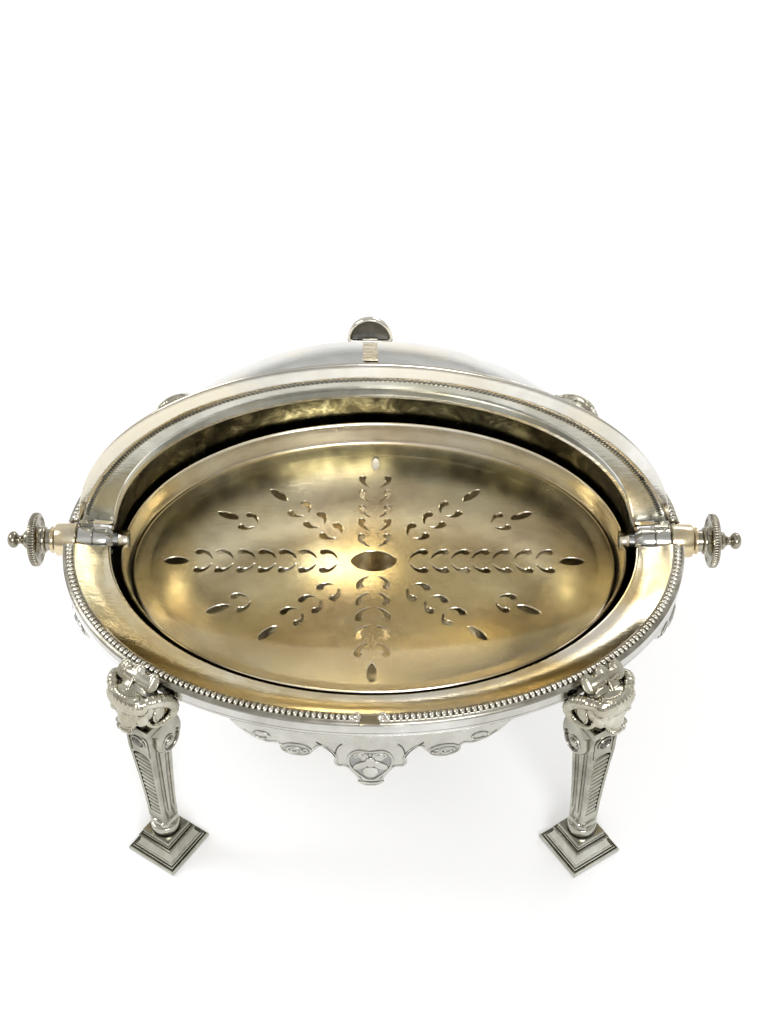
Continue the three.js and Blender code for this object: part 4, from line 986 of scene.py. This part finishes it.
def post_scroll(shape):
    """The console scroll behind the capital, with a spiral, its groove and an eye at each end."""
    end = 7.9
    side_line = smooth_loop([(5.4, 83.6), (-6.9, 83.6), (-9.4, 80.4), (-10.6, 76.2), (-10.0, 71.8),
                             (-7.6, 68.0), (-3.6, 66.2), (0.2, 66.7), (2.4, 68.8), (3.3, 71.5), (2.9, 74.6),
                             (3.0, 78.0), (4.2, 80.8)])
    levels = [(-end, 0.84), (-end + 0.35, 0.92), (-end + 1.0, 0.975), (-end + 1.9, 1.0), (end - 1.9, 1.0),
              (end - 1.0, 0.975), (end - 0.35, 0.92), (end, 0.84)]
    hub = (-3.0, 74.0)
    verts = [(x, hub[0] + (y - hub[0]) * scale, hub[1] + (z - hub[1]) * scale)
             for x, scale in levels for y, z in side_line]
    shape.add(verts, capped_faces(len(levels), len(side_line)))
    for side in (-1, 1):
        path, groove = [], []
        for i in range(57):
            share = i / 56
            angle = math.radians(100) - share * math.radians(560)
            reach = 7.0 * (1 - share) ** 1.25 + 2.5
            for line, size in ((path, reach), (groove, reach - 1.0)):
                line.append((side * end, -2.6 - size * 0.66 * math.cos(angle),
                             72.0 + size * 0.76 * math.sin(angle)))
        shape.rod(path[8:], 0.42, 8, normal=(1, 0, 0))
        shape.rod(groove[10:], 0.34, 6, normal=(1, 0, 0), slot=1)
        shape.ball((side * (end - 0.1), -2.4, 72.0), (1.3, 2.0, 2.0), 12, 18)
    shape.ball((0, -3.9, 64.2), (5.4, 1.9, 3.4), 14, 20)
    for place in (-3.6, 0, 3.6):
        shape.rod([(place, -5.0, 66.6), (place * 0.9, -5.9, 64), (place * 0.5, -4.9, 61.2)],
                  [0.9, 0.9, 0.3], 8)


def leg_posts():
    shape = Shape()
    post_shaft(shape)
    post_face(shape)
    post_scroll(shape)
    four_times(shape, "post", "leg_post", [CAST, GROUND], angle=35)


def leg_feet():
    slab = Shape()
    profile = [(11.0, 0.0), (11.5, 0.3), (11.6, 0.9), (11.6, 1.8), (11.3, 2.3), (10.95, 2.35), (10.75, 1.95),
               (10.5, 1.95), (10.4, 2.6), (10.15, 2.95), (9.85, 2.95), (9.7, 2.6)]
    profile += [(7.5 + 2.1 * (1 - t) ** 2, 2.9 + 5.4 * t) for t in np.linspace(0, 1, 9)]
    profile += [(7.8, 8.45), (8.1, 8.8), (8.1, 9.35), (7.8, 9.7), (7.4, 9.65), (7.2, 9.35), (7.0, 9.35),
                (6.9, 9.8), (6.7, 10.1), (6.6, 10.4), (6.6, 12.6), (6.3, 13.0)]
    slab.add(*stacked(profile))
    four_times(slab, "foot", "plinth", [FOOT], angle=28)
    cup = Shape()
    cup.add(*turned([(13.35, 0.05), (13.35, 5.5), (13.8, 5.8), (16.8, 5.8), (17.4, 5.5), (17.6, 4.9),
                     (18.1, 4.4), (18.1, 0.05)], 56, axis="z"))
    cup.add(*stacked([(3.2, 17.8), (3.7, 18.6), (3.9, 21.7)]))
    petal = [Vector((4.0 * math.cos(t), 3.4, 18.3 + 3.3 * math.sin(t) ** 0.7))
             for t in circle(15, end=math.pi)]
    outer = [p + Vector((0, 1.15, 0)) + 0.12 * (Vector((0, 3.4, 18.6)) - p) for p in petal]
    count = len(petal)
    faces = [(i, i + 1, count + i + 1, count + i) for i in range(count - 1)]
    faces += [tuple(range(count)), tuple(range(count, 2 * count)), (0, count, 2 * count - 1, count - 1)]
    for turn in range(4):
        spin = Matrix.Rotation(turn * math.pi / 2, 3, "Z")
        cup.add([spin @ p for p in petal + outer], faces)
    four_times(cup, "collar", "leg_collar", [FOOT], angle=35, edge=0.15)


ram_heads()
leg_posts()
leg_feet()


# Aprons, drawn flat as (distance along the rim, height below the bead line, outwards) and bent to the band

APRON_EDGE = [(0, 40.3), (2.6, 39.9), (4.6, 38), (4.9, 35.6), (7, 31), (9.2, 28.0), (12.2, 27.8),
              (13.5, 25.7), (13.2, 22.4), (14.4, 19.3), (16, 17), (18.2, 15.8), (20.0, 18.2), (22.4, 21),
              (26.4, 22.6), (30.4, 21.2), (33.2, 18.2), (34.6, 16.9), (37.8, 17.6), (42.2, 16.4),
              (46.4, 13.8), (49.4, 10.9), (APRON_REACH, 8.4)]


def on_band(middle):
    length, width = BAND_LINE
    angles = np.linspace(middle - 1.0, middle + 1.0, 4001)
    line = np.array([oval_at(length, width, a, FULL) for a in angles])
    steps = lengths_along(line)
    steps -= steps[2000]

    def point(along):
        return np.array([np.interp(along, steps, line[:, 0]), np.interp(along, steps, line[:, 1])])

    def place(along, height, out):
        x, y = point(along)
        tangent = point(along + 0.2) - point(along - 0.2)
        tangent = tangent / np.hypot(*tangent)
        out = out + 0.05 * height
        return x + tangent[1] * out, y - tangent[0] * out, RIM + height

    return place


def apron_plate():
    lower = [(-a, -d) for a, d in reversed(APRON_EDGE[1:])] + [(a, -d) for a, d in APRON_EDGE]
    edge = [(float(a), float(b)) for a, b in smooth_loop(lower, closed=False)]
    flat = flat_plate("apron_curve", [edge + [(APRON_REACH, -7.6), (-APRON_REACH, -7.6)]], 0.55, 0.35, 2)
    work = bmesh.new()
    work.from_mesh(flat)
    for cut in np.arange(-50.0, 50.1, 2.5):
        bmesh.ops.bisect_plane(work, geom=work.verts[:] + work.edges[:] + work.faces[:],
                               plane_co=(cut * MM, 0, 0), plane_no=(1, 0, 0))
    work.to_mesh(flat)
    work.free()
    return Shape().take(flat, -0.9), edge


def aprons():
    shape, edge = apron_plate()
    level = (0, 0, 1)

    def coil(centre, reach, thick, out, start=0.0, end=TURN, shrink=0.0):
        path = []
        for share in np.linspace(0, 1, 33):
            angle = start + (end - start) * share
            size = 1 - shrink * share
            path.append((centre[0] + reach[0] * size * math.cos(angle),
                         centre[1] + reach[1] * size * math.sin(angle), out))
        shape.rod(path, thick, 6, normal=level)

    inner = []
    for i in range(1, len(edge) - 1):
        tangent = np.array(edge[i + 1]) - np.array(edge[i - 1])
        tangent = tangent / max(1e-6, np.hypot(*tangent))
        inner.append((edge[i][0] - tangent[1] * 1.1, edge[i][1] + tangent[0] * 1.1, 0.02))
    shape.rod(inner[6:-6], 0.32, 6, normal=level)
    heart = []
    for t in circle(49):
        wide = 8.0 * math.sin(t) * (1 + 0.16 * math.cos(t))
        tall = -24.6 + 9.3 * math.cos(t)
        for dip, depth, reach in ((0.0, 2.4, 0.45), (TURN, 2.4, 0.45), (math.pi, 2.2, 0.5)):
            tall -= depth * math.exp(-((t - dip) / reach) ** 2)
        heart.append((wide, tall, 0.05))
    shape.rod(heart, 0.5, 8, normal=level)
    panel = [(0.93 * x, -24.8 + 0.93 * (y + 24.8)) for x, y, _ in heart[:-1]]
    count = len(panel)
    faces = [tuple(range(count)), tuple(range(count, 2 * count))]
    faces += [(i, (i + 1) % count, count + (i + 1) % count, count + i) for i in range(count)]
    shape.add([(x, y, out) for out in (0.06, -0.5) for x, y in panel], faces, 1)
    for side in (-1, 1):
        start = side * 0.4 + (math.pi if side > 0 else 0)
        coil((side * 3.9, -19.6), (2.9, 2.4), 0.62, 0.3, start=start, end=start - side * 4.4, shrink=0.5)
        shape.ball((side * 3.9, -19.6, 0.2), (1.5, 1.3, 0.8), 10, 14)
        lean = Matrix.Rotation(side * math.radians(52), 3, "Z")
        shape.ball((side * 3.5, -26.4, 0.15), (2.0, 3.6, 0.7), 12, 18, turn=lean)
        shape.ball((side * 27.2, -18.9, 0.05), (5.4, 3.0, 0.35), 12, 28, slot=1)
        coil((side * 27.2, -18.9), (5.6, 3.2), 0.45, 0.12)
        coil((side * 28.0, -18.9), (3.0, 1.9), 0.55, 0.35, end=10.0, shrink=0.75)
        coil((side * 24.0, -18.7), (1.5, 1.3), 0.5, 0.35, start=3.0, end=8.4, shrink=0.5)
        coil((side * 40.0, -13.6), (3.4, 2.4), 0.45, 0.1, end=5.6, shrink=0.35)
        for groove in (((19.4, 13.0), (16.6, 15.6), (14.2, 18.6), (12.8, 21.6)),
                       ((10.2, 13.2), (11.6, 15.0), (12.5, 18.0), (12.8, 21.6))):
            line = smooth_loop([(side * a, -d, 0.0) for a, d in groove], closed=False)
            shape.rod(line, 0.28, 6, normal=level, slot=2)
    shape.ball((0, -30.4, 0.2), (3.0, 3.6, 0.8), 12, 20)
    shape.ball((0, -24.2, 0.25), (1.9, 3.2, 0.8), 12, 18)
    shape.rod([(-4.9, -36.8, 0), (-2.4, -37.7, 0.1), (0, -38.0, 0.1), (2.4, -37.7, 0.1), (4.9, -36.8, 0)],
              [0.4, 0.5, 0.5, 0.5, 0.4], 8, normal=level)
    for name, middle in (("front", 0.0), ("right", math.pi / 2), ("rear", math.pi), ("left", -math.pi / 2)):
        bent = shape.moved(on_band(middle))
        obj = bent.build(f"apron_{name}_cast", [PALE_CAST, GROUND_PALE, GROUND], angle=35)
        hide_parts(f"apron_{name}")


aprons()


# Studio: pale floor, soft lamps, camera at the photograph's angle. Lengths are in metres here.

def pale_floor():
    """A pale floor that glows white where it is seen, and keeps the shadow."""
    bpy.ops.mesh.primitive_plane_add(size=30)
    floor = bpy.context.object
    floor.name = "floor"
    mat, tree, bsdf = nodes_of("floor_white")
    connect(tree, bsdf, {"Base Color": (0.86, 0.86, 0.86, 1), "Roughness": 0.9, "Specular IOR Level": 0.1})
    glow = add_node(tree, "ShaderNodeEmission", {"Color": (1, 1, 1, 1), "Strength": 0.22})
    rays = tree.nodes.new("ShaderNodeLightPath")
    seen = rays.outputs["Is Camera Ray"]
    for kind in ("Is Glossy Ray", "Is Transmission Ray"):
        seen = add_node(tree, "ShaderNodeMath", {0: seen, 1: rays.outputs[kind]}, operation="ADD",
                        use_clamp=True).outputs[0]
    both = add_node(tree, "ShaderNodeAddShader", {0: bsdf.outputs[0], 1: glow.outputs[0]})
    pick = add_node(tree, "ShaderNodeMixShader", {0: seen, 1: bsdf.outputs[0], 2: both.outputs[0]})
    connect(tree, tree.nodes["Material Output"], {"Surface": pick.outputs[0]})
    floor.data.materials.append(mat)


def sky():
    """A grey room in front, brighter overhead, and a paler one behind. Places run up from the horizon."""
    world = bpy.data.worlds.new("studio")
    bpy.context.scene.world = world
    world.use_nodes = True
    tree = world.node_tree
    coords = tree.nodes.new("ShaderNodeTexCoord").outputs["Generated"]
    split = add_node(tree, "ShaderNodeSeparateXYZ", {0: coords})
    ahead = ramp(tree, split.outputs["Z"], [(0.0, (0.90, 0.90, 0.89)), (0.15, (0.42, 0.41, 0.40)),
                                            (0.42, (0.80, 0.79, 0.77)), (0.72, 1.0),
                                            (1.0, (0.62, 0.61, 0.60))])
    behind = ramp(tree, split.outputs["Z"], [(0.0, (0.55, 0.54, 0.53)), (0.12, (0.90, 0.90, 0.89)),
                                             (0.5, 0.95), (1.0, (0.62, 0.61, 0.60))])
    rear = spread(tree, split.outputs["Y"], 0.0, 1.0, -0.1, 0.45)
    connect(tree, tree.nodes["Background"], {"Color": mix(tree, rear, ahead, behind), "Strength": 0.85})


def lamp(name, place, aim, size, size_y, power):
    light = bpy.data.lights.new(name, "AREA")
    light.shape = "RECTANGLE"
    light.size = size
    light.size_y = size_y
    light.energy = power
    obj = bpy.data.objects.new(name, light)
    bpy.context.scene.collection.objects.link(obj)
    obj.location = place
    obj.rotation_euler = (Vector(aim) - Vector(place)).to_track_quat("-Z", "Y").to_euler()


def photo_camera():
    sensor, focal_pixels, photo_pixels = 24.0, 1500.0, 1024.0
    place = Vector((11.2, -419.4, 423.6 + RIM)) * MM
    pitch, yaw, roll = math.radians(44.5), math.radians(-0.94), math.radians(-0.56)
    camera = bpy.data.cameras.new("camera")
    camera.sensor_fit = "VERTICAL"
    camera.sensor_height = sensor
    camera.lens = sensor * focal_pixels / photo_pixels
    camera.dof.use_dof = False
    camera.clip_start = 0.01
    eye = bpy.data.objects.new("camera", camera)
    bpy.context.scene.collection.objects.link(eye)
    forward = Vector((math.sin(yaw) * math.cos(pitch), math.cos(yaw) * math.cos(pitch), -math.sin(pitch)))
    right = Vector((math.cos(yaw), -math.sin(yaw), 0))
    up = right.cross(forward)
    across = math.cos(roll) * right + math.sin(roll) * up
    upward = -math.sin(roll) * right + math.cos(roll) * up
    eye.matrix_world = Matrix.Translation(place) @ Matrix((across, upward, -forward)).transposed().to_4x4()
    bpy.context.scene.camera = eye
    bpy.context.scene.view_settings.view_transform = "Standard"


pale_floor()
sky()
lamp("window_left", (-1.1, 0.2, 1.0), (0, 0, 0.08), 0.5, 0.7, 6)
lamp("window_rear", (0.6, 1.2, 0.9), (0, 0, 0.08), 0.7, 0.4, 4)
lamp("front_fill", (0.25, -1.15, 0.95), (0, 0, 0.12), 0.6, 0.45, 9)
photo_camera()
